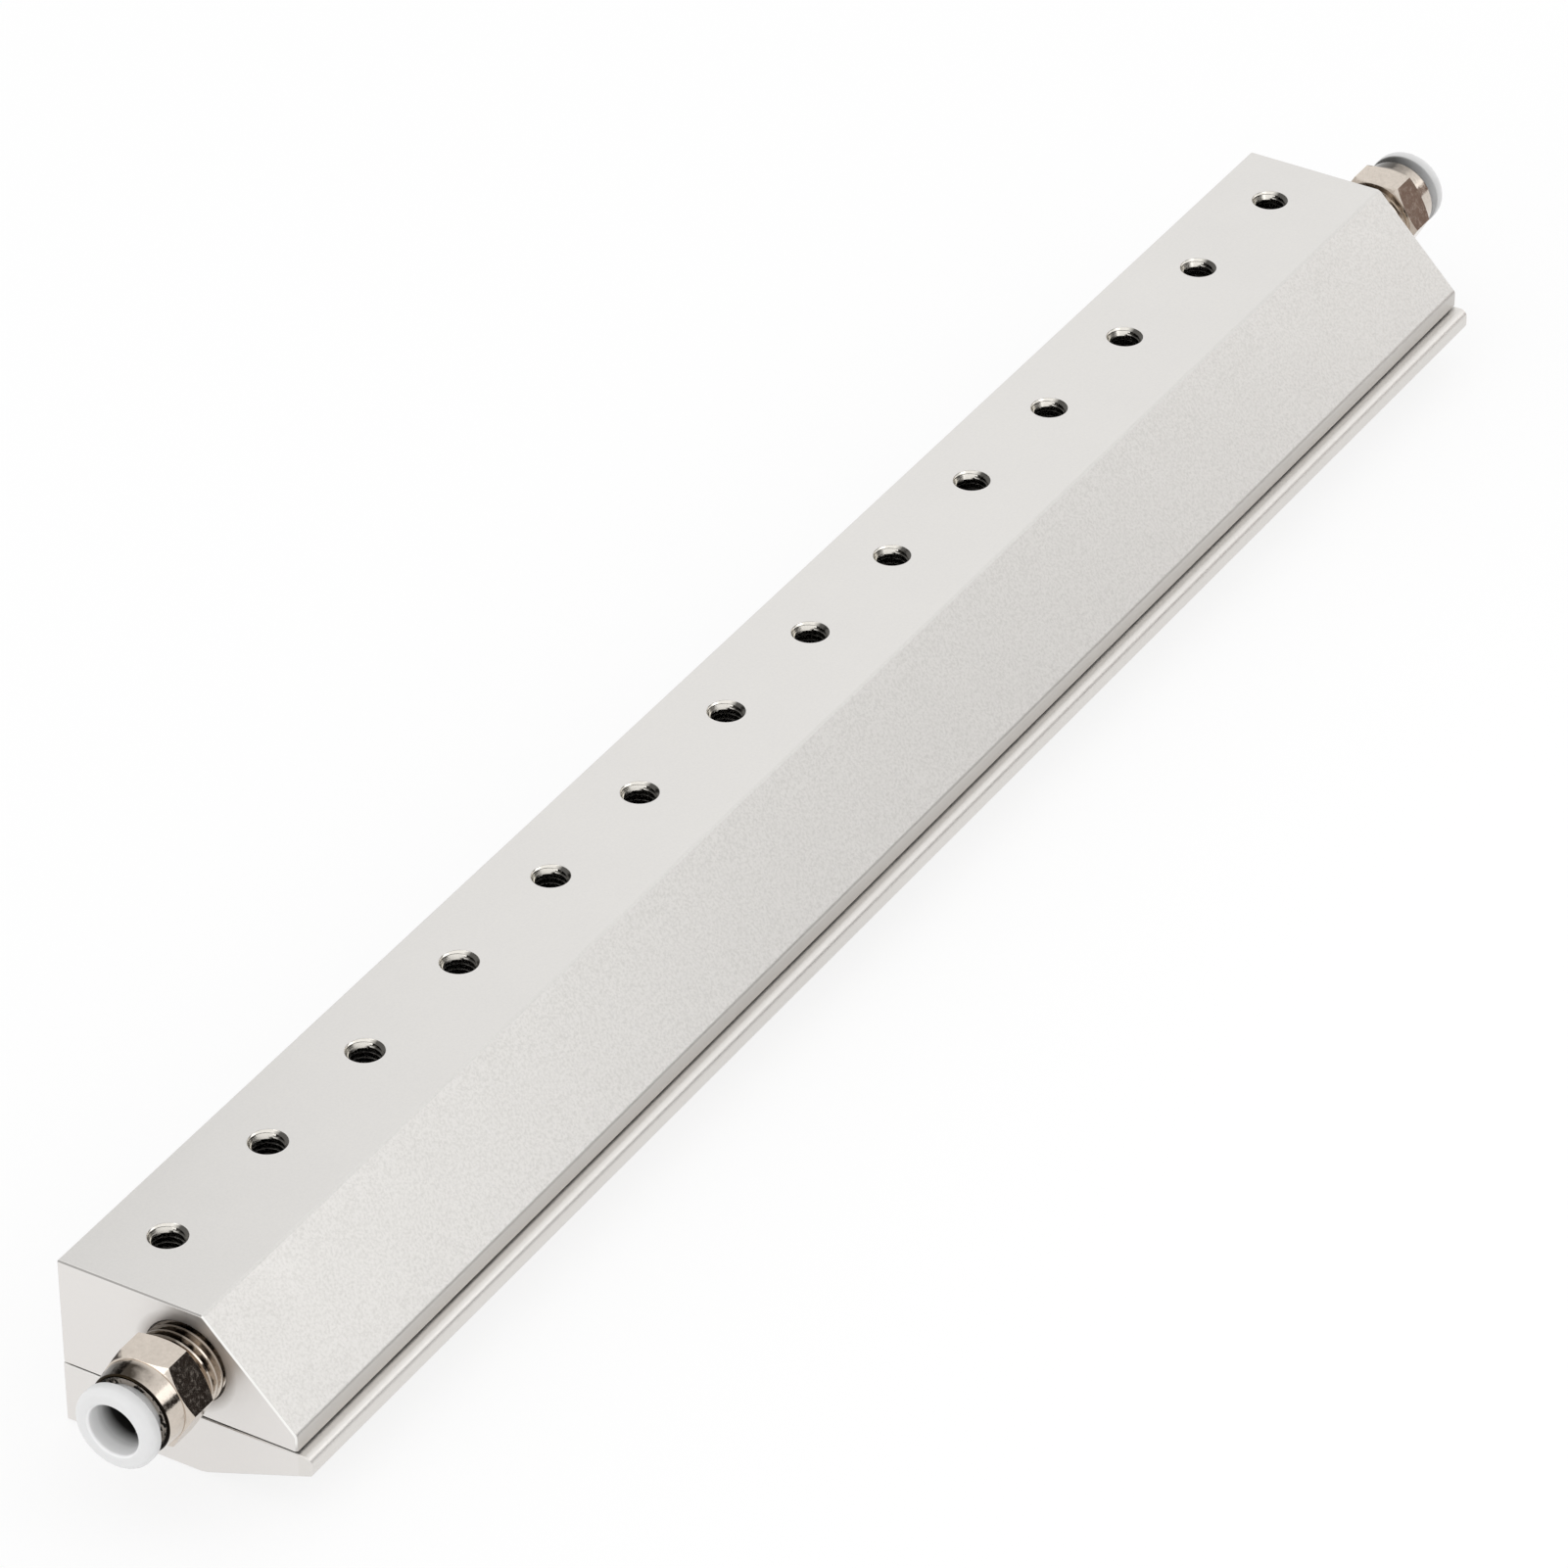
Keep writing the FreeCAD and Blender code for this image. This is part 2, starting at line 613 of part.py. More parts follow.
def release_collar(document, side):
    """Push collar with a domed flange, a slotted sleeve and a barbed nose."""
    body = fitting_piece(document, side, "release_collar")
    bore, sleeve, flange = "collar_bore / 2", "collar_sleeve / 2", "flange_diameter / 2"
    turn(body, "collar", [
        (NOSE_START, bore),
        (NOSE_START, NOSE_RADIUS),
        (BARB_START, NOSE_RADIUS),
        (BARB_END + " - collar_nose / 3", BARB_RADIUS),
        (BARB_END, BARB_RADIUS),
        (BARB_END, sleeve),
        (FLANGE_BACK, sleeve),
        (FLANGE_BACK, flange),
        (FLANGE_FRONT, flange),
        (FLANGE_FRONT, bore),
    ])
    outline = new_sketch(body, "slot_outline", "YZ_Plane", z=NOSE_START)
    add_outline(outline, [
        ("-collar_slot / 2", "0"), ("collar_slot / 2", "0"),
        ("collar_slot / 2", "collar_sleeve"), ("-collar_slot / 2", "collar_sleeve"),
    ])
    slot = cut(body, "slot", outline, BARB_END + " + guide_lip / 2 - " + NOSE_START, Reversed=True)
    repeat_round(body, "slots", [slot], "collar_slots")
    round_edges(body, "flange_round", "flange_round", circle_at(FLANGE_FRONT, flange))
    bevel_edges(body, "mouth_bevel", "flange_mouth", circle_at(FLANGE_FRONT, bore))
    return body


def check_document(document, bodies):
    """Stop if an object failed or a sub-part has no sound shape."""
    for item in document.Objects:
        if "Invalid" in item.State or "Error" in item.State:
            raise RuntimeError(item.Name + " failed: " + ", ".join(item.State))
    for body in bodies:
        if body.Shape.isNull() or not body.Shape.isValid():
            raise RuntimeError(body.Label + " has no sound shape")


def main():
    """Build every sub-part and write each to its own file."""
    document = FreeCAD.newDocument("air_knife")
    write_sheet(document)
    bodies = [make(document) for make in (upper_half, lower_half, gap_shim, clamp_screws)]
    pieces = (fitting_body, tube_seal, spacer_ring, grip_ring, guide_ring, release_collar)
    bodies += [make(document, side) for side in SIDES for make in pieces]
    document.recompute()
    check_document(document, bodies)
    os.makedirs("parts", exist_ok=True)
    for body in bodies:
        body.Shape.exportStep("parts/" + body.Label + ".step")
        box = body.Shape.BoundBox
        print(
            "%-22s %2d solid, volume %9.1f, x %7.2f %7.2f, y %6.2f %6.2f, z %6.2f %6.2f"
            % (body.Label, len(body.Shape.Solids), body.Shape.Volume,
               box.XMin, box.XMax, box.YMin, box.YMax, box.ZMin, box.ZMax)
        )


main()
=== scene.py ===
# %% [markdown]
# # A compressed air knife, dressed for its portrait
# Two blasted aluminium halves are clamped on a thin shim, and air leaves the slot between them along
# the nose. A nickel plated tube fitting with a white release collar feeds each end.
# The engineering model is loaded first and never changed. It gives every place and size, so each
# piece made here only has to be made where that model says. Lengths below are in millimetres and are
# turned to Blender's metres by one factor.

# %% Load the engineering model
import math

import bmesh
import bpy
from mathutils import Matrix, Vector


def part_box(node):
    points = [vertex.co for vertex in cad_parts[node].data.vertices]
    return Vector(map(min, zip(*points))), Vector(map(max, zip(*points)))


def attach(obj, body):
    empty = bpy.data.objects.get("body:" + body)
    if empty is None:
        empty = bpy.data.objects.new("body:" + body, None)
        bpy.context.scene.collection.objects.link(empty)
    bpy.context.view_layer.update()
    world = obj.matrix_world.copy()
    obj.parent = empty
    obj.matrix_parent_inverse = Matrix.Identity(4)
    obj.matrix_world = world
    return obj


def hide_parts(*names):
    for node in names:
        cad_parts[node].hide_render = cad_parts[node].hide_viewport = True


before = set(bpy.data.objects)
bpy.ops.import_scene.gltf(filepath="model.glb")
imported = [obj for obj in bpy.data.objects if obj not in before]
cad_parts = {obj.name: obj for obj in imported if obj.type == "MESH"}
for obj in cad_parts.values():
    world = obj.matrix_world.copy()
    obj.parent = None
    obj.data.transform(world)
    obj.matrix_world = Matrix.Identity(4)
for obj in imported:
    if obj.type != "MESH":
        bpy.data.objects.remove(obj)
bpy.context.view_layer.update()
MM = 0.001
print("nodes:", ", ".join(sorted(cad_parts)))

# %% [markdown]
# ## Sizes that the dressing follows
# A fitting is turned about its own axis, so its pieces are drawn as outlines of (place along the
# axis, radius) pairs, with 0 at the end face of the halves. The places of the axis and of the screws
# are read off the loaded model. Copying them by hand would work too, but would go stale.

# %% Places of the fittings and the screws
END_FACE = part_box("upper_half")[1].x / MM
collar_low, collar_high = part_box("right_release_collar")
AXIS = (collar_low + collar_high) / 2 / MM
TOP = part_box("upper_half")[1].z / MM
screw_low, screw_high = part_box("clamp_screws")
SCREW_COUNT = 14
SCREW_PITCH = 25.0
HEAD_RADIUS = 5.0
HEAD_SEAT = 6.5
FIRST_SCREW = Vector((screw_low.x / MM + HEAD_RADIUS, (screw_low.y + screw_high.y) / 2 / MM, HEAD_SEAT))
SIDES = {"left": Matrix.Rotation(math.pi, 4, "Z"), "right": Matrix.Identity(4)}
print("fitting axis at y %.2f, z %.2f" % (AXIS.y, AXIS.z))
print("first screw at x %.2f, y %.2f" % (FIRST_SCREW.x, FIRST_SCREW.y))

# %% [markdown]
# Some places are shared by a piece's shape and by the marks of wear on it, so they are named here: on
# the halves the top's front edge, the nose, the joint and the bevels, and on a fitting the two ends
# of the hexagon, the mouth and the two faces of the collar's flange.

# %% Name the shared places
TOP_EDGE = -3.7
NOSE = -18.6
JOINT = 10.3
BREAK = 0.25
HEXAGON = (4.4, 10.0)
MOUTH = 13.5
FLANGE = (15.3, 17.8)
print("hexagon from %.1f to %.1f, mouth at %.1f, flange from %.1f to %.1f" % (*HEXAGON, MOUTH, *FLANGE))

# %% [markdown]
# ## Colours
# Finishes are described by the hex colours that a paint card gives. Those are sRGB values, while
# Blender mixes light in linear values, so one function turns the first into the second.

# %% Turn a hex colour to linear
def linear(colour):
    """Linear RGBA of a colour given as RRGGBB."""
    parts = [int(colour[place:place + 2], 16) / 255 for place in (0, 2, 4)]
    return [part / 12.92 if part <= 0.04045 else ((part + 0.055) / 1.055) ** 2.4 for part in parts] + [1.0]


# %% [markdown]
# ## Nodes
# Materials and shape trees are both made of nodes. One small function adds any node, sets its
# options and feeds its sockets. A socket is fed either with a plain value or with another node's
# output, and the function tells them apart.

# %% Add one node
def add_node(tree, kind, options=None, inputs=None):
    """Add a node with its options. Inputs are values or other nodes' outputs, by socket name or number."""
    node = tree.nodes.new(kind)
    for option, choice in (options or {}).items():
        setattr(node, option, choice)
    for socket, source in (inputs or {}).items():
        if isinstance(source, bpy.types.NodeSocket):
            tree.links.new(source, node.inputs[socket])
        else:
            node.inputs[socket].default_value = source
    return node


def calculate(tree, operation, first, second=0.0, third=0.0):
    """Output of one arithmetic node."""
    node = add_node(tree, "ShaderNodeMath", {"operation": operation}, {0: first, 1: second, 2: third})
    return node.outputs[0]


# %% [markdown]
# ## Finishes
# Every finish here is one Principled shader with some unevenness on its colour, roughness and
# surface. What differs is how large the unevenness is and how much of it there is. One function makes
# them from the real figures of each finish: its colour, its roughness, the size of its grain in
# millimetres and how deep the grain is. Texture sizes are counted in metres by Blender, so a grain of
# 0.5 mm is a scale of one over 0.0005.

# %% Make a finish
def new_finish(
    name, colour, roughness, grain, depth, shade=0.06, metallic=1.0, cloud=12.0, gloss=0.05, extra=None,
):
    """Material with fine grain and broad clouding. Grain, depth and cloud are in millimetres."""
    material = bpy.data.materials.new(name)
    material.use_nodes = True
    tree = material.node_tree
    shader = tree.nodes["Principled BSDF"]
    shader.inputs["Metallic"].default_value = metallic
    for socket, number in (extra or {}).items():
        shader.inputs[socket].default_value = number
    place = add_node(tree, "ShaderNodeTexCoord").outputs["Object"]
    fine = add_node(tree, "ShaderNodeTexNoise", None, {
        "Vector": place, "Scale": 1 / (grain * MM), "Detail": 2.0, "Roughness": 0.6,
    }).outputs["Fac"]
    broad = add_node(tree, "ShaderNodeTexNoise", None, {
        "Vector": place, "Scale": 1 / (cloud * MM), "Detail": 3.0, "Roughness": 0.5,
    }).outputs["Fac"]
    both = add_node(tree, "ShaderNodeMix", {"data_type": "FLOAT"}, {0: 0.35, 2: fine, 3: broad}).outputs[0]
    value = add_node(tree, "ShaderNodeMapRange", None, {
        "Value": both, "From Min": 0.3, "From Max": 0.7, "To Min": 1 - shade, "To Max": 1 + shade,
    }).outputs["Result"]
    shaded = add_node(tree, "ShaderNodeHueSaturation", None, {"Color": linear(colour), "Value": value})
    uneven = add_node(tree, "ShaderNodeMapRange", None, {
        "Value": both, "From Min": 0.3, "From Max": 0.7,
        "To Min": roughness - gloss, "To Max": roughness + gloss,
    }).outputs["Result"]
    relief = add_node(tree, "ShaderNodeBump", None, {"Height": fine, "Strength": 1.0, "Distance": depth * MM})
    tree.links.new(shaded.outputs["Color"], shader.inputs["Base Color"])
    tree.links.new(uneven, shader.inputs["Roughness"])
    tree.links.new(relief.outputs["Normal"], shader.inputs["Normal"])
    return material


# %% [markdown]
# ## A second colour over a finish
# Wear, dirt and shadows in corners follow places on the object, not its texture. A mask says where,
# as a number from 0 to 1 at each point, and a mix lays the second colour or roughness there.

# %% Lay a second colour over a finish
def lay_over(material, mask, colour):
    """Lay a colour over a finish's own colour where a mask is 1."""
    tree = material.node_tree
    socket = tree.nodes["Principled BSDF"].inputs["Base Color"]
    under = socket.links[0].from_socket
    mixed = add_node(tree, "ShaderNodeMix", {"data_type": "RGBA"}, {0: mask, 6: under, 7: linear(colour)})
    tree.links.new(mixed.outputs[2], socket)


def roughen(material, mask, roughness):
    """Change a finish's roughness where a mask is 1."""
    tree = material.node_tree
    socket = tree.nodes["Principled BSDF"].inputs["Roughness"]
    under = socket.links[0].from_socket
    mixed = add_node(tree, "ShaderNodeMix", {"data_type": "FLOAT"}, {0: mask, 2: under, 3: roughness})
    tree.links.new(mixed.outputs[0], socket)


# %% [markdown]
# ## Masks
# A mask is worked out with plain arithmetic. Its smallest step is a ramp, which climbs from 0 to 1
# between two values, and several of them are multiplied where all have to hold. Noise makes ragged
# edges and patches. Places come from the Object coordinates, which are the model's own, so a mask
# stays in place in every view. Round a fitting, the distance from its axis is handier than x, y and z.

# %% Helpers that make masks
def ramp(tree, value, low, high):
    """Number that climbs from 0 at one value to 1 at another."""
    return add_node(tree, "ShaderNodeMapRange", None, {
        "Value": value, "From Min": low, "From Max": high,
    }).outputs["Result"]


def between(tree, place, low, high):
    """Number that climbs from 0 at one place to 1 at another, both in millimetres."""
    return ramp(tree, place, low * MM, high * MM)


def noise(tree, size, detail=2.0):
    """Noise whose grains are some millimetres wide."""
    place = add_node(tree, "ShaderNodeTexCoord").outputs["Object"]
    return add_node(tree, "ShaderNodeTexNoise", None, {
        "Vector": place, "Scale": 1 / (size * MM), "Detail": detail, "Roughness": 0.6,
    }).outputs["Fac"]


def place_of(tree):
    """Three outputs with the place of a point, in metres."""
    place = add_node(tree, "ShaderNodeTexCoord").outputs["Object"]
    return add_node(tree, "ShaderNodeSeparateXYZ", None, {0: place}).outputs


def round_axis(tree):
    """Distance of a point from the fittings' axis and its place along it outside the end face, in metres."""
    x, y, z = place_of(tree)
    across = calculate(tree, "SUBTRACT", y, AXIS.y * MM)
    up = calculate(tree, "SUBTRACT", z, AXIS.z * MM)
    square = calculate(tree, "MULTIPLY_ADD", up, up, calculate(tree, "MULTIPLY", across, across))
    out = calculate(tree, "SUBTRACT", calculate(tree, "ABSOLUTE", x), END_FACE * MM)
    return calculate(tree, "SQRT", square), out


def all_of(tree, *masks):
    """Mask where every one of some masks is."""
    whole = masks[0]
    for mask in masks[1:]:
        whole = calculate(tree, "MULTIPLY", whole, mask)
    return whole


# %% [markdown]
# ## Blasted aluminium
# The halves are milled from bar and blasted with glass beads. Beads leave dimples of a few tenths of
# a millimetre that spread every reflection, so the metal looks like pale satin with a very fine
# sparkle and no tool marks. A roughness near a half does the spreading, and the grain does the
# sparkle. The real dimples are about 0.1 mm wide. They are drawn 0.4 mm wide, since finer ones would
# average out in the picture. The tapped holes were cut after the blasting, so they are brighter.

# %% Finishes of the halves
blasted_aluminium = new_finish("blasted_aluminium", "DEDCD9", 0.45, grain=0.4, depth=0.004, shade=0.035)
cut_aluminium = new_finish("cut_aluminium", "ECE8E0", 0.25, grain=0.3, depth=0.004, shade=0.06)
print(len(blasted_aluminium.node_tree.nodes), "nodes in a finish without wear")

# %% [markdown]
# ## Specks, painted light and painted shade on the halves
# The slope was blasted harder than the top and shows darker specks. The end faces are painted lighter
# as painted light and the lip carries a painted highlight, while the nose above the lip is painted darker
# as painted shade. Of the bevels round the ends, the ones beside the slope carry a painted highlight and
# the ones at the top painted shade. A painted shadow lies round each port. Painting these places by hand
# would need an image, while a mask only needs to know where they are.

# %% Lay specks, painted light and painted shade over the halves
grain = blasted_aluminium.node_tree
x, y, z = place_of(grain)
radius, out = round_axis(grain)
speckle = ramp(grain, noise(grain, 0.45, 4.0), 0.42, 0.66)
on_slope = all_of(grain, between(grain, y, TOP_EDGE + 0.5, TOP_EDGE - 0.5), between(grain, out, -0.3, -0.4))
lay_over(blasted_aluminium, all_of(grain, on_slope, speckle, 0.28), "A8A6A0")
# Painted light: the end faces are painted lighter.
on_end = between(grain, out, -0.02, -0.01)
lay_over(blasted_aluminium, on_end, "E8E5E2")
# Painted highlight: the lip is painted lighter.
on_lip = all_of(grain, between(grain, y, NOSE, NOSE - 0.3), between(grain, z, JOINT, JOINT - 0.1))
lay_over(blasted_aluminium, on_lip, "E4E1DD")
# Painted shade: the nose above the lip is painted darker.
on_nose = all_of(grain, between(grain, y, NOSE + 0.4, NOSE + 0.1), between(grain, z, JOINT, JOINT + 0.1))
lay_over(blasted_aluminium, on_nose, "D0CDC9")
# Painted shade on the bevels at the top of the end faces.
at_end = between(grain, out, -BREAK - 0.02, -BREAK + 0.02)
above = between(grain, z, TOP - BREAK - 0.02, TOP - BREAK + 0.02)
lay_over(blasted_aluminium, all_of(grain, at_end, above, 0.8), "8E8B88")
# Painted highlight on the bevels beside the slope.
beside = all_of(grain, between(grain, y, TOP_EDGE + 0.3, TOP_EDGE + 0.1), between(grain, z, 11.0, 12.0))
on_bevel = all_of(grain, at_end, ramp(grain, on_end, 1.0, 0.0))
lay_over(blasted_aluminium, all_of(grain, on_bevel, beside), "FAF9F6")
# Painted shadow round each port on the end face.
round_port = between(grain, radius, 8.6, 6.9)
lay_over(blasted_aluminium, all_of(grain, on_end, round_port, 0.5), "6E6052")
# Counts the nodes of the finish with its specks, painted light and painted shade.
print(len(grain.nodes), "nodes in the finish with its wear")

# %% [markdown]
# ## Metals of the fittings and the screws
# Fitting bodies are turned from brass bar and nickel plated. Bright nickel is a warm mirror with a
# slight haze, and plating over a sawn hexagon keeps some of the bar's mottling: dull specks of under a
# millimetre, which show where the metal mirrors something dark. The guide ring in the mouth has the
# same plating, with black patches painted on as painted shade in the narrow gap. The small rings are
# stainless steel, a greyer and hazier mirror. The clamp screws are alloy steel with a black oxide
# finish, a thin conversion layer that leaves a dark, oily sheen.

# %% Finishes of the fittings and the screws
nickel_plate = new_finish("nickel_plated_brass", "CFC5BA", 0.13, grain=0.7, depth=0.012, shade=0.08, cloud=3.0)
tree = nickel_plate.node_tree
roughen(nickel_plate, ramp(tree, noise(tree, 0.7, 4.0), 0.50, 0.70), 0.24)
nickel_with_painted_shade = new_finish("nickel_with_painted_shade", "C9C0B6", 0.2, grain=0.6, depth=0.010, shade=0.1, cloud=2.0)
shade_painted = nickel_with_painted_shade.node_tree
# Painted shade: black patches over the guide ring stand in for the shade in the narrow gap.
lay_over(nickel_with_painted_shade, ramp(shade_painted, noise(shade_painted, 1.6), 0.47, 0.53), "120E0A")
stainless_steel = new_finish("stainless_steel", "C4C3C0", 0.22, grain=0.3, depth=0.002)
black_oxide = new_finish("black_oxide_steel", "2B2B2D", 0.38, grain=0.25, depth=0.004, shade=0.1)
print("metals:", ", ".join(metal.name for metal in (nickel_plate, nickel_with_painted_shade, stainless_steel, black_oxide)))

# %% [markdown]
# ## Painted shade and painted reflections on the fittings
# The mouth of a fitting is painted dark as painted shade, and a painted dark reflection runs over the
# back of its shoulder to the bevel of the hexagon. Painted shade darkens the grooves of the pipe thread
# here and there and covers the back of it. The place across the fitting is blurred with noise, so that
# no painted shade ends in a straight line.

# %% Lay painted shade and painted reflections over the plating
radius, out = round_axis(tree)
# Painted shade in the mouth of the fitting.
lay_over(nickel_plate, between(tree, out, MOUTH - 0.32, MOUTH - 0.24), "15110D")
# Painted shade in patches in the grooves of the thread.
on_thread = between(tree, out, HEXAGON[0] - 0.04, HEXAGON[0] - 0.1)
in_groove = between(tree, radius, 6.55, 6.3)
patches = ramp(tree, noise(tree, 3.0), 0.50, 0.60)
lay_over(nickel_plate, all_of(tree, on_thread, in_groove, patches, 0.85), "2A231B")
# Painted shade on the back of the thread.
behind = calculate(tree, "SUBTRACT", place_of(tree)[1], (AXIS.y + 1.5) * MM)
blurred = calculate(tree, "MULTIPLY_ADD", noise(tree, 1.5), 3 * MM, behind)
lay_over(nickel_plate, all_of(tree, on_thread, between(tree, blurred, -3.5, -1.0), 0.85), "2F261C")
# Painted dark reflection on the back of the shoulder.
on_shoulder = all_of(tree, between(tree, out, HEXAGON[1], HEXAGON[1] + 0.9), between(tree, radius, 6.95, 6.85))
lay_over(nickel_plate, all_of(tree, on_shoulder, between(tree, blurred, -3.6, 0.4), 0.95), "2A2217")
# Painted dark reflection on the bevel of the hexagon.
on_bevel = all_of(tree, between(tree, out, HEXAGON[1] - 0.8, HEXAGON[1] - 0.5), between(tree, radius, 7.0, 7.1))
lay_over(nickel_plate, all_of(tree, on_bevel, between(tree, blurred, 3.0, 4.2), 0.9), "1E1812")
# Counts the nodes of the plating with its painted shade and painted reflections.
print(len(tree.nodes), "nodes in the stained plating")

# %% [markdown]
# ## Plastics and rubber
# The release collars are moulded in white acetal, a dense plastic that lets a little light in, which
# softens its shadows. The shim is dark polyester film, of which only a dark line with a faint gloss is
# seen. The tube seals are nitrile rubber, which is black and nearly matt.

# %% Finishes of the soft pieces
white_acetal = new_finish(
    "white_acetal", "DBDBDB", 0.4, grain=0.5, depth=0.002, shade=0.01, metallic=0.0,
    extra={
        "Subsurface Weight": 0.3, "Subsurface Scale": 0.0012, "Subsurface Radius": (1.0, 1.0, 1.0), "IOR": 1.48,
    },
)
polyester_film = new_finish(
    "polyester_film", "1E1D1B", 0.45, grain=0.3, depth=0.002, metallic=0.0, extra={"IOR": 1.64},
)
nitrile_rubber = new_finish(
    "nitrile_rubber", "161616", 0.6, grain=0.2, depth=0.006, metallic=0.0, extra={"IOR": 1.52},
)
print("soft pieces:", ", ".join(finish.name for finish in (white_acetal, polyester_film, nitrile_rubber)))

# %% [markdown]
# ## Painted light and painted shade on the collars
# The mouth of a collar's hole is painted a brighter white as painted light, and deeper in the hole it is
# painted dark as painted shade. The back of the flange is painted grey as painted shade, darker towards
# the back, and some of the painted shade is spread over the rim.

# %% Lay painted light and painted shade over the collars
tree = white_acetal.node_tree
radius, out = round_axis(tree)
in_hole = between(tree, radius, 4.5, 4.3)
# Painted light: the mouth of the hole is painted a brighter white.
lay_over(white_acetal, all_of(tree, in_hole, between(tree, out, 14.8, 15.6)), "F4F4F4")
# Painted shade deep in the hole.
lay_over(white_acetal, all_of(tree, in_hole, between(tree, out, 14.6, 12.4)), "1C1B1A")
# Painted shade on the back of the flange, darker towards the back.
inner_side = between(tree, out, FLANGE[0] - 0.2, FLANGE[0] - 0.05)
outer_side = between(tree, out, FLANGE[0] + 0.2, FLANGE[0] + 0.05)
back = all_of(tree, between(tree, radius, 4.6, 4.75), outer_side, inner_side)
shade_towards_back = between(tree, place_of(tree)[1], AXIS.y - 6.0, AXIS.y + 2.0)
lay_over(white_acetal, all_of(tree, back, shade_towards_back, 0.9), "454442")
# Painted shade over the rim.
rim = all_of(tree, between(tree, radius, 6.2, 6.5), between(tree, out, FLANGE[0] + 1.7, FLANGE[0] + 0.1))
lay_over(white_acetal, all_of(tree, rim, 0.35), "8C8C8A")
# Counts the nodes of the acetal with its painted light and painted shade.
print(len(tree.nodes), "nodes in the worn acetal")

# %% [markdown]
# ## Dress the pieces whose shape is already right
# The halves, the shim and the small rings inside the fittings keep the engineering model's own
# meshes. Only their material is changed.

# %% Assign the finishes
def dress(node, material):
    """Give a loaded piece its finish."""
    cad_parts[node].data.materials.clear()
    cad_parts[node].data.materials.append(material)


for half in ("upper_half", "lower_half"):
    dress(half, blasted_aluminium)
dress("gap_shim", polyester_film)
for side in SIDES:
    dress(side + "_tube_seal", nitrile_rubber)
    dress(side + "_guide_ring", nickel_with_painted_shade)
    for ring in ("_spacer_ring", "_grip_ring"):
        dress(side + ring, stainless_steel)
print("dressed", 3 + 4 * len(SIDES), "pieces")

# %% [markdown]
# ## Turned shapes
# Collars, fitting bodies and screws come off a lathe, so each is an outline spun round an axis. Sharp
# corners never survive on real pieces, so a first function rounds the corners of an outline.

# %% Round the corners of an outline
def rounded(corners, steps=6):
    """Outline of (place, radius) points from corners of (place, radius, size of the rounding)."""
    outline = []
    for index, (*corner, size) in enumerate(corners):
        point = Vector(corner)
        before = (Vector(corners[index - 1][:2]) - point).normalized()
        after = (Vector(corners[(index + 1) % len(corners)][:2]) - point).normalized()
        if size == 0:
            outline.append(tuple(point))
            continue
        half = before.angle(after) / 2
        centre = point + (before + after).normalized() * size / math.sin(half)
        start, end = (point + way * size / math.tan(half) - centre for way in (before, after))
        for step in range(steps + 1):
            outline.append(tuple(centre + start.slerp(end, step / steps).normalized() * size))
    return outline


# %% [markdown]
# A second function spins the outline: a copy of it stands at each step of the turn and is joined to
# the next. Points on the axis fall together there, so doubles are merged and the faces without an area
# are dissolved. A point of the outline may also be a function of the angle, and that is how a hexagon
# is turned: its radius rises and falls six times per turn.

# %% Spin an outline
def spun(name, outline, segments=96):
    """Mesh of a closed outline spun round the X axis. Points are (place, radius) or functions of the angle."""
    shape = bmesh.new()
    rings = []
    for step in range(segments):
        angle = 2 * math.pi * step / segments
        ring = []
        for point in outline:
            along, radius = point(angle) if callable(point) else point
            place = (along * MM, radius * math.cos(angle) * MM, radius * math.sin(angle) * MM)
            ring.append(shape.verts.new(place))
        rings.append(ring)
    for step in range(segments):
        here, there = rings[step], rings[(step + 1) % segments]
        for index in range(len(outline)):
            after = (index + 1) % len(outline)
            shape.faces.new((here[index], here[after], there[after], there[index]))
    bmesh.ops.remove_doubles(shape, verts=shape.verts, dist=1e-7)
    bmesh.ops.dissolve_degenerate(shape, edges=shape.edges, dist=1e-7)
    bmesh.ops.recalc_face_normals(shape, faces=shape.faces)
    mesh = bpy.data.meshes.new(name)
    shape.to_mesh(mesh)
    shape.free()
    return mesh


def hexagon(flats, angle):
    """Radius of a hexagon at an angle, with corners at 0 and every 60 degrees."""
    return flats / 2 / math.cos((angle % (math.pi / 3)) - math.pi / 6)


# %% [markdown]
# ## From a working object to a finished piece
# A shape may be worked on with modifiers while it stands in a scratch object. When it is done, its
# evaluated mesh is taken out, moved to its place and given to a clean object that stays at the
# origin. Edges sharper than 30 degrees stay crisp, and everything else is shaded smooth. Smooth shading
# alone makes a flat face beside a rounded edge look swollen, so its normals are weighted by area.

# %% Helpers that place a finished piece
def working_object(name, mesh):
    """Object that carries a mesh while modifiers work on it."""
    thing = bpy.data.objects.new(name, mesh)
    bpy.context.collection.objects.link(thing)
    return thing


def take_mesh(thing, name):
    """Mesh of an object with its modifiers worked in. The scratch object is removed."""
    graph = bpy.context.evaluated_depsgraph_get()
    mesh = bpy.data.meshes.new_from_object(thing.evaluated_get(graph))
    mesh.name = name
    bpy.data.objects.remove(thing)
    return mesh


def place_piece(name, mesh, place, material, body, slot, *nodes):
    """Put a mesh in its place as a piece that rides on a body and stands for some nodes."""
    mesh.transform(place)
    mesh.materials.clear()
    mesh.materials.append(material)
    mesh.shade_smooth()
    mesh.set_sharp_from_angle(angle=math.radians(30))
    smoothed = working_object(name + "_work", mesh)
    smoothed.modifiers.new("weighted", "WEIGHTED_NORMAL").keep_sharp = True
    piece = working_object(name, take_mesh(smoothed, name))
    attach(piece, body)
    if nodes:
        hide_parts(*nodes)
    print("%-20s %6d faces" % (name, len(mesh.polygons)))
    return piece


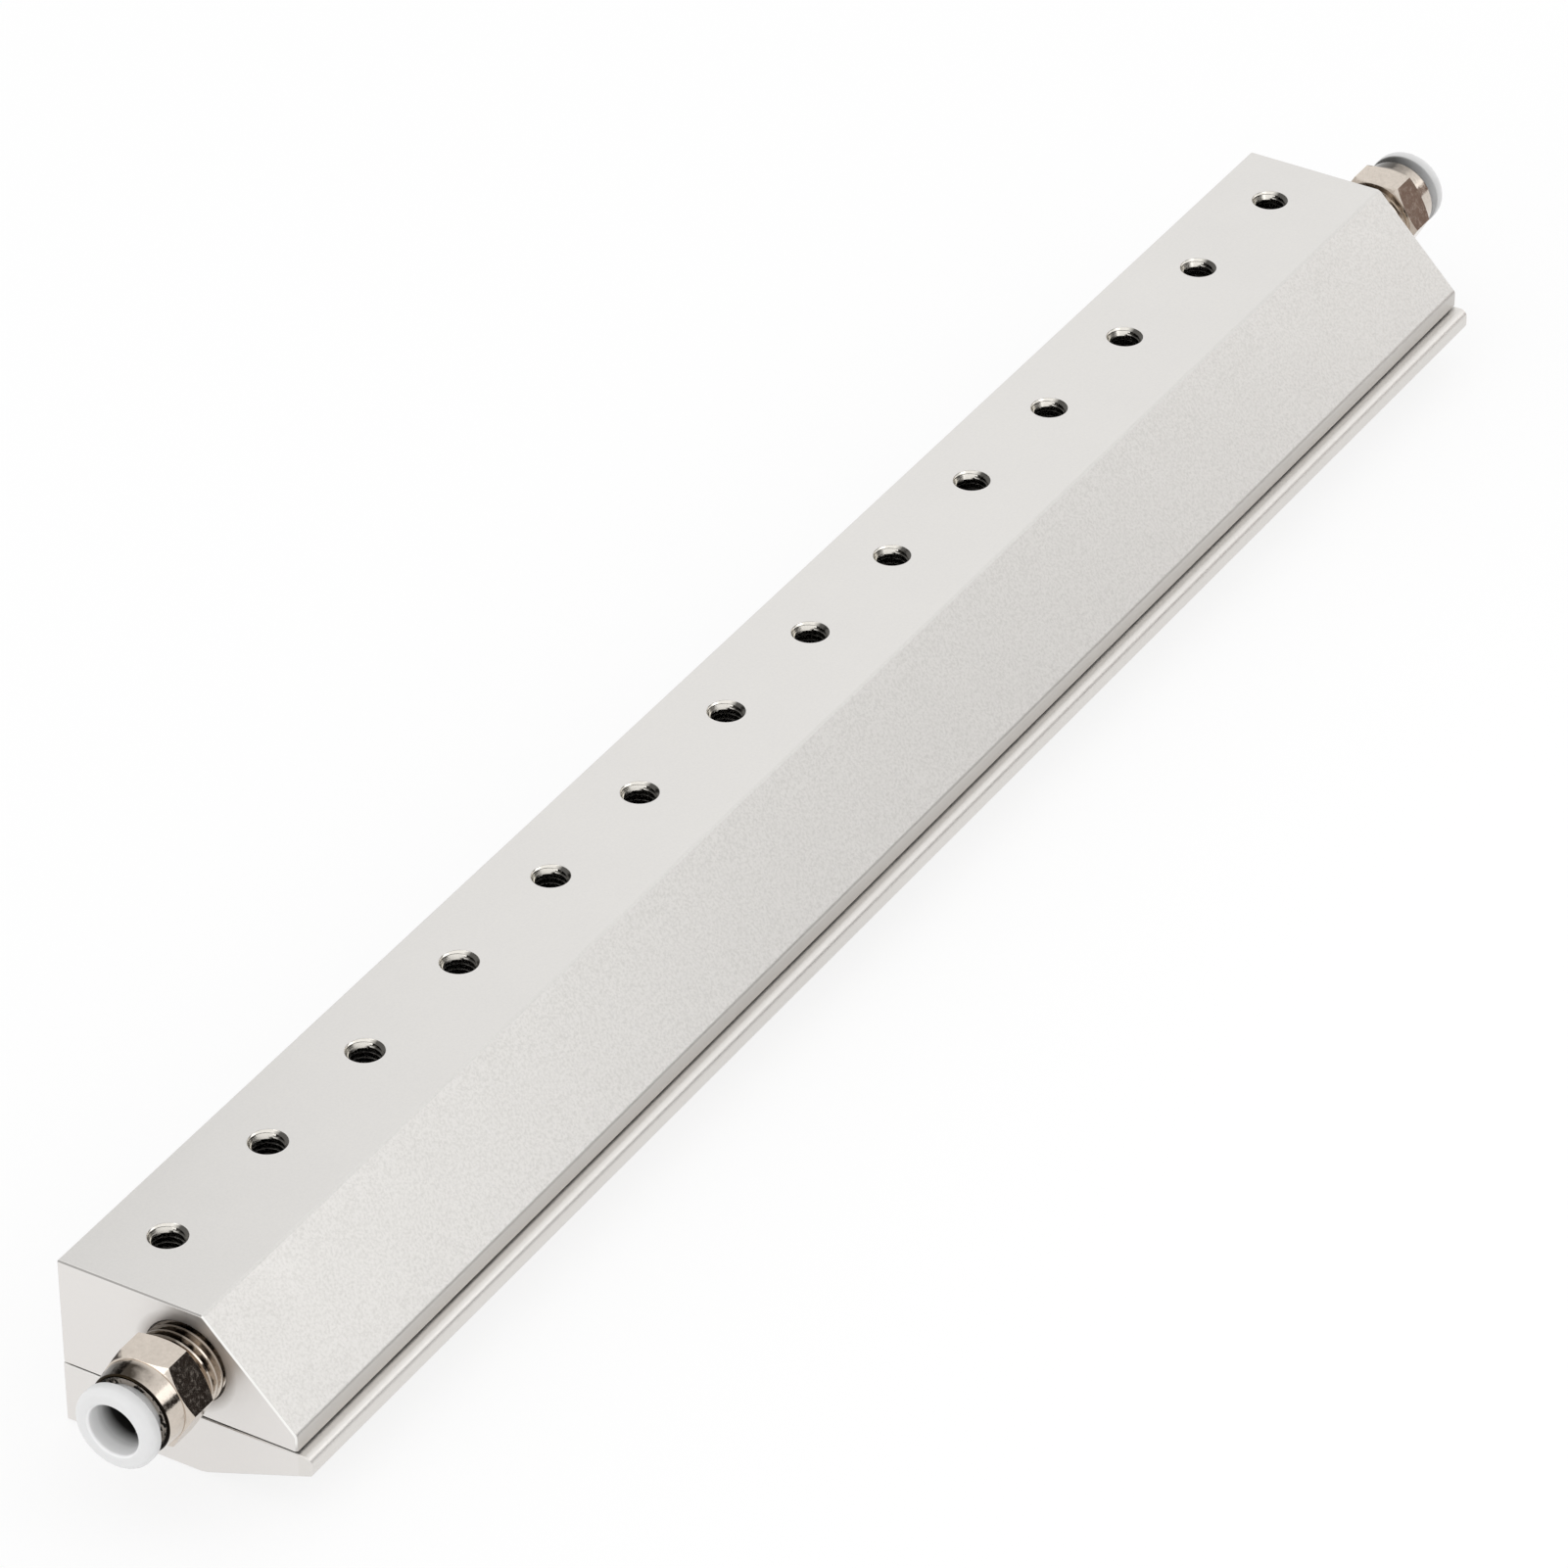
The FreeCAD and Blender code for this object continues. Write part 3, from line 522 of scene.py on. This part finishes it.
def at_fitting(side):
    """Move from a fitting's own axis, pointing out along X, to its place at one end."""
    to_end = Matrix.Translation((END_FACE * MM, 0, 0))
    return Matrix.Translation((0, AXIS.y * MM, AXIS.z * MM)) @ SIDES[side] @ to_end


# %% [markdown]
# ## A tree that cuts a thread
# A thread is one V shaped strip wound round an axis, so it is a natural job for Geometry Nodes. The
# tree starts from a flat grid. One direction of the grid becomes the angle, over all turns, and the
# other becomes the way across one pitch. Each point's height is where its turn has climbed to, kept
# between the thread's two ends. Its radius is the root radius, plus the taper, plus the V. The V fades
# out at both ends, as a real thread runs out. A negative depth cuts an inside thread.
# Curve to Mesh along a spiral would be shorter, but its strip doesn't close against the next turn.
# Every tree here starts and ends alike, so two helpers come first.

# %% Helpers that start and end a tree
def new_tree(name, sizes):
    """Shape tree with a geometry input, a geometry output and named inputs with their kinds and values."""
    tree = bpy.data.node_groups.new(name, "GeometryNodeTree")
    tree.interface.new_socket(name="Geometry", in_out="OUTPUT", socket_type="NodeSocketGeometry")
    tree.interface.new_socket(name="Geometry", in_out="INPUT", socket_type="NodeSocketGeometry")
    for label, (kind, value) in sizes.items():
        socket = tree.interface.new_socket(name=label, in_out="INPUT", socket_type="NodeSocket" + kind)
        if value is not None:
            socket.default_value = value
    return tree, add_node(tree, "NodeGroupInput").outputs


def end_tree(tree, shape, material):
    """End a tree with real geometry and its material."""
    real = add_node(tree, "GeometryNodeRealizeInstances", None, {"Geometry": shape}).outputs["Geometry"]
    dressed = add_node(tree, "GeometryNodeSetMaterial", None, {"Geometry": real, "Material": material})
    add_node(tree, "NodeGroupOutput", None, {"Geometry": dressed.outputs["Geometry"]})


# %% [markdown]
# The tree's inputs are the sizes of a thread, and its first nodes make the flat grid and work out which
# angle and height each of its points gets.

# %% Lay out the thread's turns
thread_tree, given = new_tree("cut_thread", {
    "Root Radius": ("Float", 0.0025),
    "Depth": ("Float", 0.0005),
    "Pitch": ("Float", 0.001),
    "Length": ("Float", 0.005),
    "Taper": ("Float", 0.0),
    "Segments": ("Int", 48),
    "Start": ("Vector", (0.0, 0.0, 0.0)),
    "Turn": ("Vector", (0.0, 0.0, 0.0)),
    "Material": ("Material", None),
})
whole = calculate(thread_tree, "CEIL", calculate(thread_tree, "DIVIDE", given["Length"], given["Pitch"]))
turns = calculate(thread_tree, "ADD", whole, 1.0)
columns = calculate(thread_tree, "MULTIPLY_ADD", turns, given["Segments"], 1.0)
strip = add_node(thread_tree, "GeometryNodeMeshGrid", None, {
    "Size X": 1.0, "Size Y": 1.0, "Vertices X": columns, "Vertices Y": 9,
}).outputs["Mesh"]
flat = add_node(thread_tree, "ShaderNodeSeparateXYZ", None, {
    0: add_node(thread_tree, "GeometryNodeInputPosition").outputs[0],
}).outputs
wound = calculate(thread_tree, "MULTIPLY", calculate(thread_tree, "ADD", flat["X"], 0.5), turns)
angle = calculate(thread_tree, "MULTIPLY", wound, 2 * math.pi)
climbed = calculate(thread_tree, "ADD", calculate(thread_tree, "ADD", wound, flat["Y"]), -0.5)
height = calculate(thread_tree, "MULTIPLY", climbed, given["Pitch"])
height = calculate(thread_tree, "MINIMUM", calculate(thread_tree, "MAXIMUM", height, 0.0), given["Length"])
print("thread inputs:", ", ".join(socket.name for socket in given if socket.name))

# %% [markdown]
# The V comes from the way across one pitch, and the fade from what is left to the nearer end. Both are
# multiplied by the depth and added to the radius, and then every point is moved to its place.

# %% Give the thread its V and wind it up
to_end = calculate(thread_tree, "SUBTRACT", given["Length"], height)
left_over = calculate(thread_tree, "MINIMUM", height, to_end)
fade = add_node(thread_tree, "ShaderNodeMapRange", None, {
    "Value": calculate(thread_tree, "DIVIDE", left_over, given["Pitch"]), "From Min": 0.0, "From Max": 0.6,
}).outputs["Result"]
vee = add_node(thread_tree, "ShaderNodeMapRange", None, {
    "Value": calculate(thread_tree, "ABSOLUTE", flat["Y"]),
    "From Min": 0.125, "From Max": 0.375, "To Min": 1.0, "To Max": 0.0,
}).outputs["Result"]
ridge = calculate(thread_tree, "MULTIPLY", calculate(thread_tree, "MULTIPLY", vee, fade), given["Depth"])
radius = calculate(thread_tree, "MULTIPLY_ADD", height, given["Taper"], given["Root Radius"])
radius = calculate(thread_tree, "ADD", radius, ridge)
wrapped = add_node(thread_tree, "GeometryNodeSetPosition", None, {
    "Geometry": strip,
    "Position": add_node(thread_tree, "ShaderNodeCombineXYZ", None, {
        "X": calculate(thread_tree, "MULTIPLY", radius, calculate(thread_tree, "COSINE", angle)),
        "Y": calculate(thread_tree, "MULTIPLY", radius, calculate(thread_tree, "SINE", angle)),
        "Z": height,
    }).outputs[0],
}).outputs["Geometry"]
closed = add_node(thread_tree, "GeometryNodeMergeByDistance", None, {"Geometry": wrapped, "Distance": 2e-6})
facing = add_node(thread_tree, "GeometryNodeFlipFaces", None, {
    "Mesh": closed.outputs["Geometry"],
    "Selection": calculate(thread_tree, "LESS_THAN", given["Depth"], 0.0),
}).outputs["Mesh"]
placed = add_node(thread_tree, "GeometryNodeTransform", None, {
    "Geometry": facing, "Translation": given["Start"], "Rotation": given["Turn"],
}).outputs["Geometry"]
joined = add_node(thread_tree, "GeometryNodeJoinGeometry", None, {"Geometry": given["Geometry"]})
thread_tree.links.new(placed, joined.inputs["Geometry"])
end_tree(thread_tree, joined.outputs["Geometry"], given["Material"])
print(len(thread_tree.nodes), "nodes in the thread tree")

# %% [markdown]
# ## A tree that repeats a piece in a row
# Screws and tapped holes stand in one straight row at one pitch. The tree lays points on a line and
# puts a copy of its geometry on each.

# %% Build the row tree
row_tree, given = new_tree("row_at_pitch", {
    "Count": ("Int", SCREW_COUNT),
    "First": ("Vector", tuple(FIRST_SCREW * MM)),
    "Pitch": ("Vector", (SCREW_PITCH * MM, 0.0, 0.0)),
    "Material": ("Material", None),
})
line = add_node(row_tree, "GeometryNodeMeshLine", None, {
    "Count": given["Count"], "Start Location": given["First"], "Offset": given["Pitch"],
}).outputs["Mesh"]
copies = add_node(row_tree, "GeometryNodeInstanceOnPoints", None, {
    "Points": line, "Instance": given["Geometry"],
})
end_tree(row_tree, copies.outputs["Instances"], given["Material"])
print("row inputs:", ", ".join(socket.name for socket in given if socket.name))


# %% [markdown]
# An object runs a tree through a modifier. The modifier knows its inputs by identifiers and not by
# names, so one function looks them up and sets them before the object is first evaluated.

# %% Helper that runs a tree
def run_tree(thing, tree, **sizes):
    """Put a tree on an object and set its named inputs by their identifiers."""
    modifier = thing.modifiers.new(tree.name, "NODES")
    modifier.node_group = tree
    labels = {label.replace("_", " ").title(): value for label, value in sizes.items()}
    for socket in tree.interface.items_tree:
        if socket.in_out == "INPUT" and socket.name in labels:
            modifier[socket.identifier] = labels.pop(socket.name)
    assert not labels, labels


# %% [markdown]
# ## Fitting bodies
# A fitting body is turned from hexagon bar, 14 mm across its flats. Its tapered pipe thread is R 1/4
# with 19 threads per inch. These sizes are standard ones.

# %% Sizes of a fitting body
FLATS = 14.0
BEVEL_SLOPE = 0.58
THREAD_PITCH = 25.4 / 19
THREAD_DEPTH = 0.856
THREAD_TAPER = 1 / 32
PIPE_DIAMETER = 13.16
THREAD_ROOT = PIPE_DIAMETER / 2 - THREAD_DEPTH
INNER_END = -8.5
print("thread root %.3f mm from the axis, pitch %.3f mm" % (THREAD_ROOT, THREAD_PITCH))

# %% [markdown]
# Both ends of the hexagon are bevelled by a cone of 30 degrees, which cuts the six flats in curved
# lines. The outline follows those lines exactly: at each angle the cone meets the bar where their
# radii are equal. It runs from the inner end over the thread's core and the hexagon to the mouth, and
# back through the cavity.

# %% Outline of a fitting body
def bevel_line(end, towards):
    """Point of the outline where the bevel at one end of the hexagon meets the bar."""
    def point(angle):
        corner = hexagon(FLATS, angle)
        return end + towards * BEVEL_SLOPE * (corner - FLATS / 2), corner
    return point


outline = [
    (INNER_END, 3.0),
    (INNER_END, THREAD_ROOT + INNER_END * THREAD_TAPER - 0.4),
    (INNER_END + 0.4, THREAD_ROOT + INNER_END * THREAD_TAPER - 0.02),
    (HEXAGON[0], THREAD_ROOT + HEXAGON[0] * THREAD_TAPER - 0.02),
    (HEXAGON[0], FLATS / 2),
    bevel_line(HEXAGON[0], 1),
    bevel_line(HEXAGON[1], -1),
    (HEXAGON[1], FLATS / 2),
]
outline += rounded([
    (HEXAGON[1], 6.85, 0),
    (MOUTH, 6.5, 0.3),
    (MOUTH, 6.1, 0.06),
    (MOUTH - 0.35, 5.75, 0),
    (4.4, 5.75, 0),
    (4.4, 4.35, 0),
    (4.1, 4.05, 0),
    (0.4, 4.05, 0),
    (0.4, 3.0, 0),
], steps=5)
print(len(outline), "points in the outline")

# %% [markdown]
# The outline is spun, its sharp edges get a tiny bevel as tumbling leaves them, and the thread tree
# winds the thread on. Both ends of the knife take the same mesh, each turned its own way.

# %% Turn the fitting bodies
turned_body = working_object("fitting_work", spun("fitting", outline))
softened = turned_body.modifiers.new("softened", "BEVEL")
softened.width = 0.1 * MM
softened.segments = 2
softened.limit_method = "ANGLE"
softened.angle_limit = math.radians(24)
run_tree(
    turned_body, thread_tree,
    root_radius=(THREAD_ROOT + INNER_END * THREAD_TAPER) * MM, depth=THREAD_DEPTH * MM, pitch=THREAD_PITCH * MM,
    length=(HEXAGON[0] - INNER_END) * MM, taper=THREAD_TAPER, segments=64,
    start=(INNER_END * MM, 0.0, 0.0), turn=(0.0, math.pi / 2, 0.0), material=nickel_plate,
)
body_mesh = take_mesh(turned_body, "fitting_body")
for side in SIDES:
    name = side + "_fitting_body"
    place_piece(
        name + "_threaded", body_mesh.copy(), at_fitting(side), nickel_plate,
        "housing", "nickel_plated_brass", name,
    )

# %% [markdown]
# ## Release collars
# The collar is one moulding: a domed flange to push, a sleeve, and a nose that four slots split into
# springy fingers. Everything round is one outline.

# %% Outline of a release collar
outline = rounded([
    (9.65, 4.15, 0.1),
    (9.65, 4.5, 0.1),
    (10.2, 4.5, 0),
    (11.27, 5.1, 0),
    (11.8, 5.1, 0.08),
    (11.8, 4.8, 0),
    (FLANGE[0], 4.8, 0.15),
    (FLANGE[0], 6.6, 0.25),
    (FLANGE[1], 6.6, 1.1),
    (FLANGE[1], 4.15, 0.6),
], steps=8)
collar = working_object("collar_work", spun("collar", outline))
print(len(collar.data.polygons), "faces before the slots")

# %% [markdown]
# The slots are cut by two crossed slabs. Each is longer than the sleeve is wide, so it cuts two of
# them. A boolean with the exact solver leaves clean edges there, and the slabs are thrown away.

# %% Cut the slots and place the collars
SLOT_WIDTH = 0.8
slabs = bmesh.new()
for width, height in ((SLOT_WIDTH, 12.0), (12.0, SLOT_WIDTH)):
    slab = bmesh.ops.create_cube(slabs, size=1.0)["verts"]
    scale = Matrix.Diagonal((5.0 * MM, width * MM, height * MM, 1.0))
    bmesh.ops.transform(slabs, matrix=Matrix.Translation((9.9 * MM, 0, 0)) @ scale, verts=slab)
slab_mesh = bpy.data.meshes.new("slabs")
slabs.to_mesh(slab_mesh)
slabs.free()
cutter = working_object("slabs", slab_mesh)
split = collar.modifiers.new("split", "BOOLEAN")
split.operation = "DIFFERENCE"
split.solver = "EXACT"
split.use_self = True
split.object = cutter
collar_mesh = take_mesh(collar, "release_collar")
bpy.data.objects.remove(cutter)
for side in SIDES:
    name = side + "_release_collar"
    place_piece(
        name + "_moulded", collar_mesh.copy(), at_fitting(side), white_acetal,
        side + "_collar", "white_collar", name,
    )

# %% [markdown]
# ## Tapped holes
# The M6 holes are tapped right through the upper half, and their threads catch the light near the
# top. The plain wall of the engineering model stands at the thread's outer radius, so the ridges are
# wound just inside it, from the tips of the screws up to the top face. The first turn of a tapped
# thread is never whole: on one side its metal is pressed into a smooth ramp. The tree's mesh is
# taken out once, the ramp is pressed into it by moving its points inwards, and then it is repeated.
# The threads are painted dark as painted shade, but not the ramp. Below the ramp the painted shade is
# lighter than beside it.

# %% Cut the threads of the tapped holes
TAP_TOP = TOP - 0.06
TAP_START = 22.6
TAP_RADIUS = 2.995
thread_work = working_object("tapping_work", bpy.data.meshes.new("empty"))
run_tree(
    thread_work, thread_tree,
    root_radius=TAP_RADIUS * MM, depth=-0.54 * MM, pitch=1.0 * MM, length=(TAP_TOP - TAP_START) * MM,
    segments=40, start=(0.0, 0.0, TAP_START * MM), material=cut_aluminium,
)
tapping = take_mesh(thread_work, "tapping")
print(len(tapping.vertices), "points in one tapped thread")

# %% [markdown]
# The ramp is deepest at the back of the hole and runs out at its sides. Each point above the ramp's
# edge is drawn in to a cone that leans towards the axis.

# %% Press the ramp and repeat the thread
RAMP_DEPTH = 1.3
RAMP_SIDE = math.radians(74)
for vertex in tapping.vertices:
    x, y, z = vertex.co / MM
    depth = TAP_TOP - z
    side_share = max(0.0, math.cos(math.atan2(y, x) - RAMP_SIDE))
    reach = RAMP_DEPTH * min(1.0, 1.6 * side_share)
    if depth < reach:
        limit = TAP_RADIUS - 0.025 - 0.65 * depth / RAMP_DEPTH
        scale = min(1.0, limit / math.hypot(x, y))
        vertex.co.x, vertex.co.y = vertex.co.x * scale, vertex.co.y * scale
thread_work = working_object("tapping_row", tapping)
run_tree(
    thread_work, row_tree,
    count=SCREW_COUNT, first=tuple(Vector((FIRST_SCREW.x, FIRST_SCREW.y, 0)) * MM),
    pitch=(SCREW_PITCH * MM, 0.0, 0.0), material=cut_aluminium,
)
thread_mesh = take_mesh(thread_work, "tapped_threads")
place_piece("tapped_threads", thread_mesh, Matrix.Identity(4), cut_aluminium, "housing", "knife_body")

# %% [markdown]
# The painted shade is laid by a mask again. The place along the knife is folded by the screw pitch, so
# that one mask serves all the holes.

# %% Paint shade over the threads
tree = cut_aluminium.node_tree
x, y, z = place_of(tree)
row_start = (SCREW_PITCH / 2 - FIRST_SCREW.x) * MM
in_pitch = calculate(tree, "MODULO", calculate(tree, "ADD", x, row_start), SCREW_PITCH * MM)
along = calculate(tree, "SUBTRACT", in_pitch, SCREW_PITCH / 2 * MM)
across = calculate(tree, "SUBTRACT", y, FIRST_SCREW.y * MM)
to_ramp = calculate(tree, "MULTIPLY", across, math.sin(RAMP_SIDE))
to_ramp = calculate(tree, "MULTIPLY_ADD", along, math.cos(RAMP_SIDE), to_ramp)
# Painted shade on the threads beside the ramp and below it.
beyond_ramp = all_of(tree, between(tree, to_ramp, 1.6, 0.6), 0.9)
below_ramp = all_of(tree, between(tree, z, TOP - 1.2, TOP - 1.5), 0.7)
lay_over(cut_aluminium, calculate(tree, "MAXIMUM", beyond_ramp, below_ramp), "1C1A17")
# Counts the nodes of the aluminium with its painted shade.
print(len(tree.nodes), "nodes in the oiled aluminium")

# %% [markdown]
# ## Clamp screws
# Fourteen M6 socket head screws hold the halves together from below. One is turned, with its hexagon
# socket made by the same rule as the fitting's hexagon.

# %% Outline of a clamp screw
HEAD_HEIGHT = 6.0
SHANK_RADIUS = 2.95
SHANK_LENGTH = 16.0
SOCKET_FLATS = 5.0
SOCKET_FLOOR = -3.0


def socket_wall(place):
    """Point of the outline on the wall of the hexagon socket."""
    return lambda angle: (place, hexagon(SOCKET_FLATS, angle))


outline = rounded([
    (-HEAD_HEIGHT, 3.1, 0),
    (-HEAD_HEIGHT, HEAD_RADIUS, 0.7),
    (0.0, HEAD_RADIUS, 0.15),
    (0.0, SHANK_RADIUS, 0),
    (SHANK_LENGTH - 0.5, SHANK_RADIUS, 0),
    (SHANK_LENGTH, SHANK_RADIUS - 0.5, 0),
], steps=5)
outline += [
    (SHANK_LENGTH, 0.0),
    (SOCKET_FLOOR, 0.0),
    socket_wall(SOCKET_FLOOR),
    socket_wall(0.2 - HEAD_HEIGHT),
]
print(len(outline), "points in the outline")

# %% [markdown]
# The screw is spun round the X axis, stood upright, and repeated by the row tree. Fewer segments than
# on the fittings are enough, because only the heads show, from below.

# %% Turn one clamp screw and repeat it
screw = working_object("screw_work", spun("screw", outline, segments=48))
screw.data.transform(Matrix.Rotation(-math.pi / 2, 4, "Y"))
run_tree(
    screw, row_tree,
    count=SCREW_COUNT, first=tuple(FIRST_SCREW * MM), pitch=(SCREW_PITCH * MM, 0.0, 0.0), material=black_oxide,
)
screw_mesh = take_mesh(screw, "clamp_screws")
place_piece(
    "clamp_screws_turned", screw_mesh, Matrix.Identity(4), black_oxide,
    "housing", "screw_steel", "clamp_screws",
)

# %% [markdown]
# ## Floor
# The knife lies on white paper in a plain white room. To the camera and to shiny surfaces the paper is
# nearly pure white but for the knife's shadow: part of it glows for their rays alone, so that its white
# never comes from more light on the knife.

# %% Lay the floor
def flat_sheet(name, width, depth, place, facing, material):
    """Flat rectangle at a place, facing along a direction."""
    mesh = bpy.data.meshes.new(name)
    signs = ((-1, -1), (1, -1), (1, 1), (-1, 1))
    corners = [(across * width / 2, along * depth / 2, 0) for across, along in signs]
    mesh.from_pydata(corners, [], [(0, 1, 2, 3)])
    mesh.transform(Matrix.Translation(place) @ Vector(facing).to_track_quat("Z", "Y").to_matrix().to_4x4())
    mesh.materials.append(material)
    sheet = working_object(name, mesh)
    return sheet


def white_rays(tree):
    """Number that is 1 for the rays of the camera, of shiny surfaces and of clear ones."""
    ray = add_node(tree, "ShaderNodeLightPath").outputs
    seen = calculate(tree, "MAXIMUM", ray["Is Camera Ray"], ray["Is Transmission Ray"])
    return calculate(tree, "MAXIMUM", seen, ray["Is Glossy Ray"])


PAPER_GLOW = 0.78
white_paper = new_finish("white_paper", "F6F6F6", 0.9, grain=1.5, depth=0.0, shade=0.0, metallic=0.0, gloss=0.0)
paper = white_paper.node_tree
glow = add_node(paper, "ShaderNodeEmission", None, {"Color": (1, 1, 1, 1), "Strength": 1.0}).outputs[0]
blend = add_node(paper, "ShaderNodeMixShader", None, {
    0: calculate(paper, "MULTIPLY", white_rays(paper), PAPER_GLOW),
    1: paper.nodes["Principled BSDF"].outputs[0],
    2: glow,
})
paper.links.new(blend.outputs[0], paper.nodes["Material Output"].inputs["Surface"])
floor = flat_sheet("floor", 12.0, 12.0, (0, 0, -0.0002), (0, 0, 1), white_paper)
print("floor of", round(floor.dimensions.x, 1), "metres")

# %% [markdown]
# ## Cards
# Bright metal shows whatever it faces, so what stands round it matters as much as the light. Two cards
# low at the front right give the fittings the dark facets that make them read as metal, and a third
# one behind gives the near shoulder its dark band. Only shiny surfaces see the cards, so they cast no
# shadow and take no light away.

# %% Hang the dark cards
dark_card = new_finish("dark_card", "1C130E", 0.9, grain=5.0, depth=0.0, metallic=0.0)
brown_card = new_finish("brown_card", "8A7870", 0.9, grain=5.0, depth=0.0, metallic=0.0)
near_fitting = Vector((-0.185, 0.0, 0.02))
far_fitting = Vector((0.185, 0.0, 0.02))
for label, start, way, distance, width, height, colour in (
    ("near_card", near_fitting, (0.62, -0.78, 0.10), 0.6, 0.44, 0.22, dark_card),
    ("far_card", far_fitting, (0.767, -0.638, 0.071), 0.72, 0.36, 0.24, brown_card),
    ("back_card", near_fitting, (0.62, 0.72, 0.26), 0.25, 0.08, 0.13, dark_card),
):
    way = Vector(way).normalized()
    card = flat_sheet(label, width, height, start + way * distance, -way, colour)
    card.visible_camera = card.visible_diffuse = card.visible_shadow = False
    print(label, "hangs at", [round(number, 2) for number in start + way * distance])

# %% [markdown]
# ## Light
# The white world does most of the lighting, so that a colour renders about as it is written. Faint
# soft boxes give the faces of the knife their slightly different tones. They stay faint, because
# stronger ones would clip the pale faces to white.

# %% Light the scene
def soft_box(name, place, aim, width, height, power):
    """Rectangular lamp at a place, turned to a point."""
    lamp = bpy.data.lights.new(name, "AREA")
    lamp.shape = "RECTANGLE"
    lamp.size, lamp.size_y, lamp.energy = width, height, power
    thing = bpy.data.objects.new(name, lamp)
    thing.location = place
    thing.rotation_euler = (Vector(place) - Vector(aim)).to_track_quat("Z", "Y").to_euler()
    bpy.context.collection.objects.link(thing)


soft_box("top_box", (0.2, 0.1, 1.8), (0, 0, 0), 1.8, 1.8, 0.8)
soft_box("slope_box", (0.047, -0.267, 0.201), (-0.2, -0.008, 0.022), 0.18, 0.18, 0.086)
soft_box("far_slope_box", (0.55, -0.25, 0.2275), (0.165, -0.008, 0.022), 0.2, 0.2, 0.075)
soft_box("end_box", (-1.3, 0.35, 0.35), (-0.17, 0, 0.01), 0.8, 0.6, 2)
soft_box("far_box", (0.65, 0.39, 0.53), (0.15, 0.016, 0.03), 0.3, 0.3, 0.05)

world = bpy.data.worlds.new("studio")
bpy.context.scene.world = world
world.use_nodes = True
world.node_tree.nodes["Background"].inputs["Color"].default_value = (1, 1, 1, 1)
world.node_tree.nodes["Background"].inputs["Strength"].default_value = 1.0
print(len(bpy.data.lights), "lamps of", round(sum(lamp.energy for lamp in bpy.data.lights), 2), "watts in all")

# %% [markdown]
# ## Camera
# The picture is a long lens view from the front left, 35 degrees above the floor. The camera's place
# and its three directions are stated outright, so that the view doesn't depend on an aim point.

# %% Place the camera
lens = bpy.data.cameras.new("view")
lens.lens = 188.88
lens.sensor_width = 36.0
lens.clip_end = 100.0
camera = bpy.data.objects.new("view", lens)
right = Vector((0.51515298, -0.85707783, -0.00591656))
down = Vector((-0.49486231, -0.29179029, -0.81851678))
forward = Vector((0.69980619, 0.42458924, -0.57445215))
turn = Matrix((right, -down, -forward)).transposed().to_4x4()
camera.matrix_world = Matrix.Translation((-0.8914, -0.53287, 0.74)) @ turn
bpy.context.collection.objects.link(camera)
bpy.context.scene.camera = camera
bpy.context.scene.view_settings.view_transform = "Standard"
print("camera at", [round(number, 3) for number in camera.matrix_world.translation], "metres")
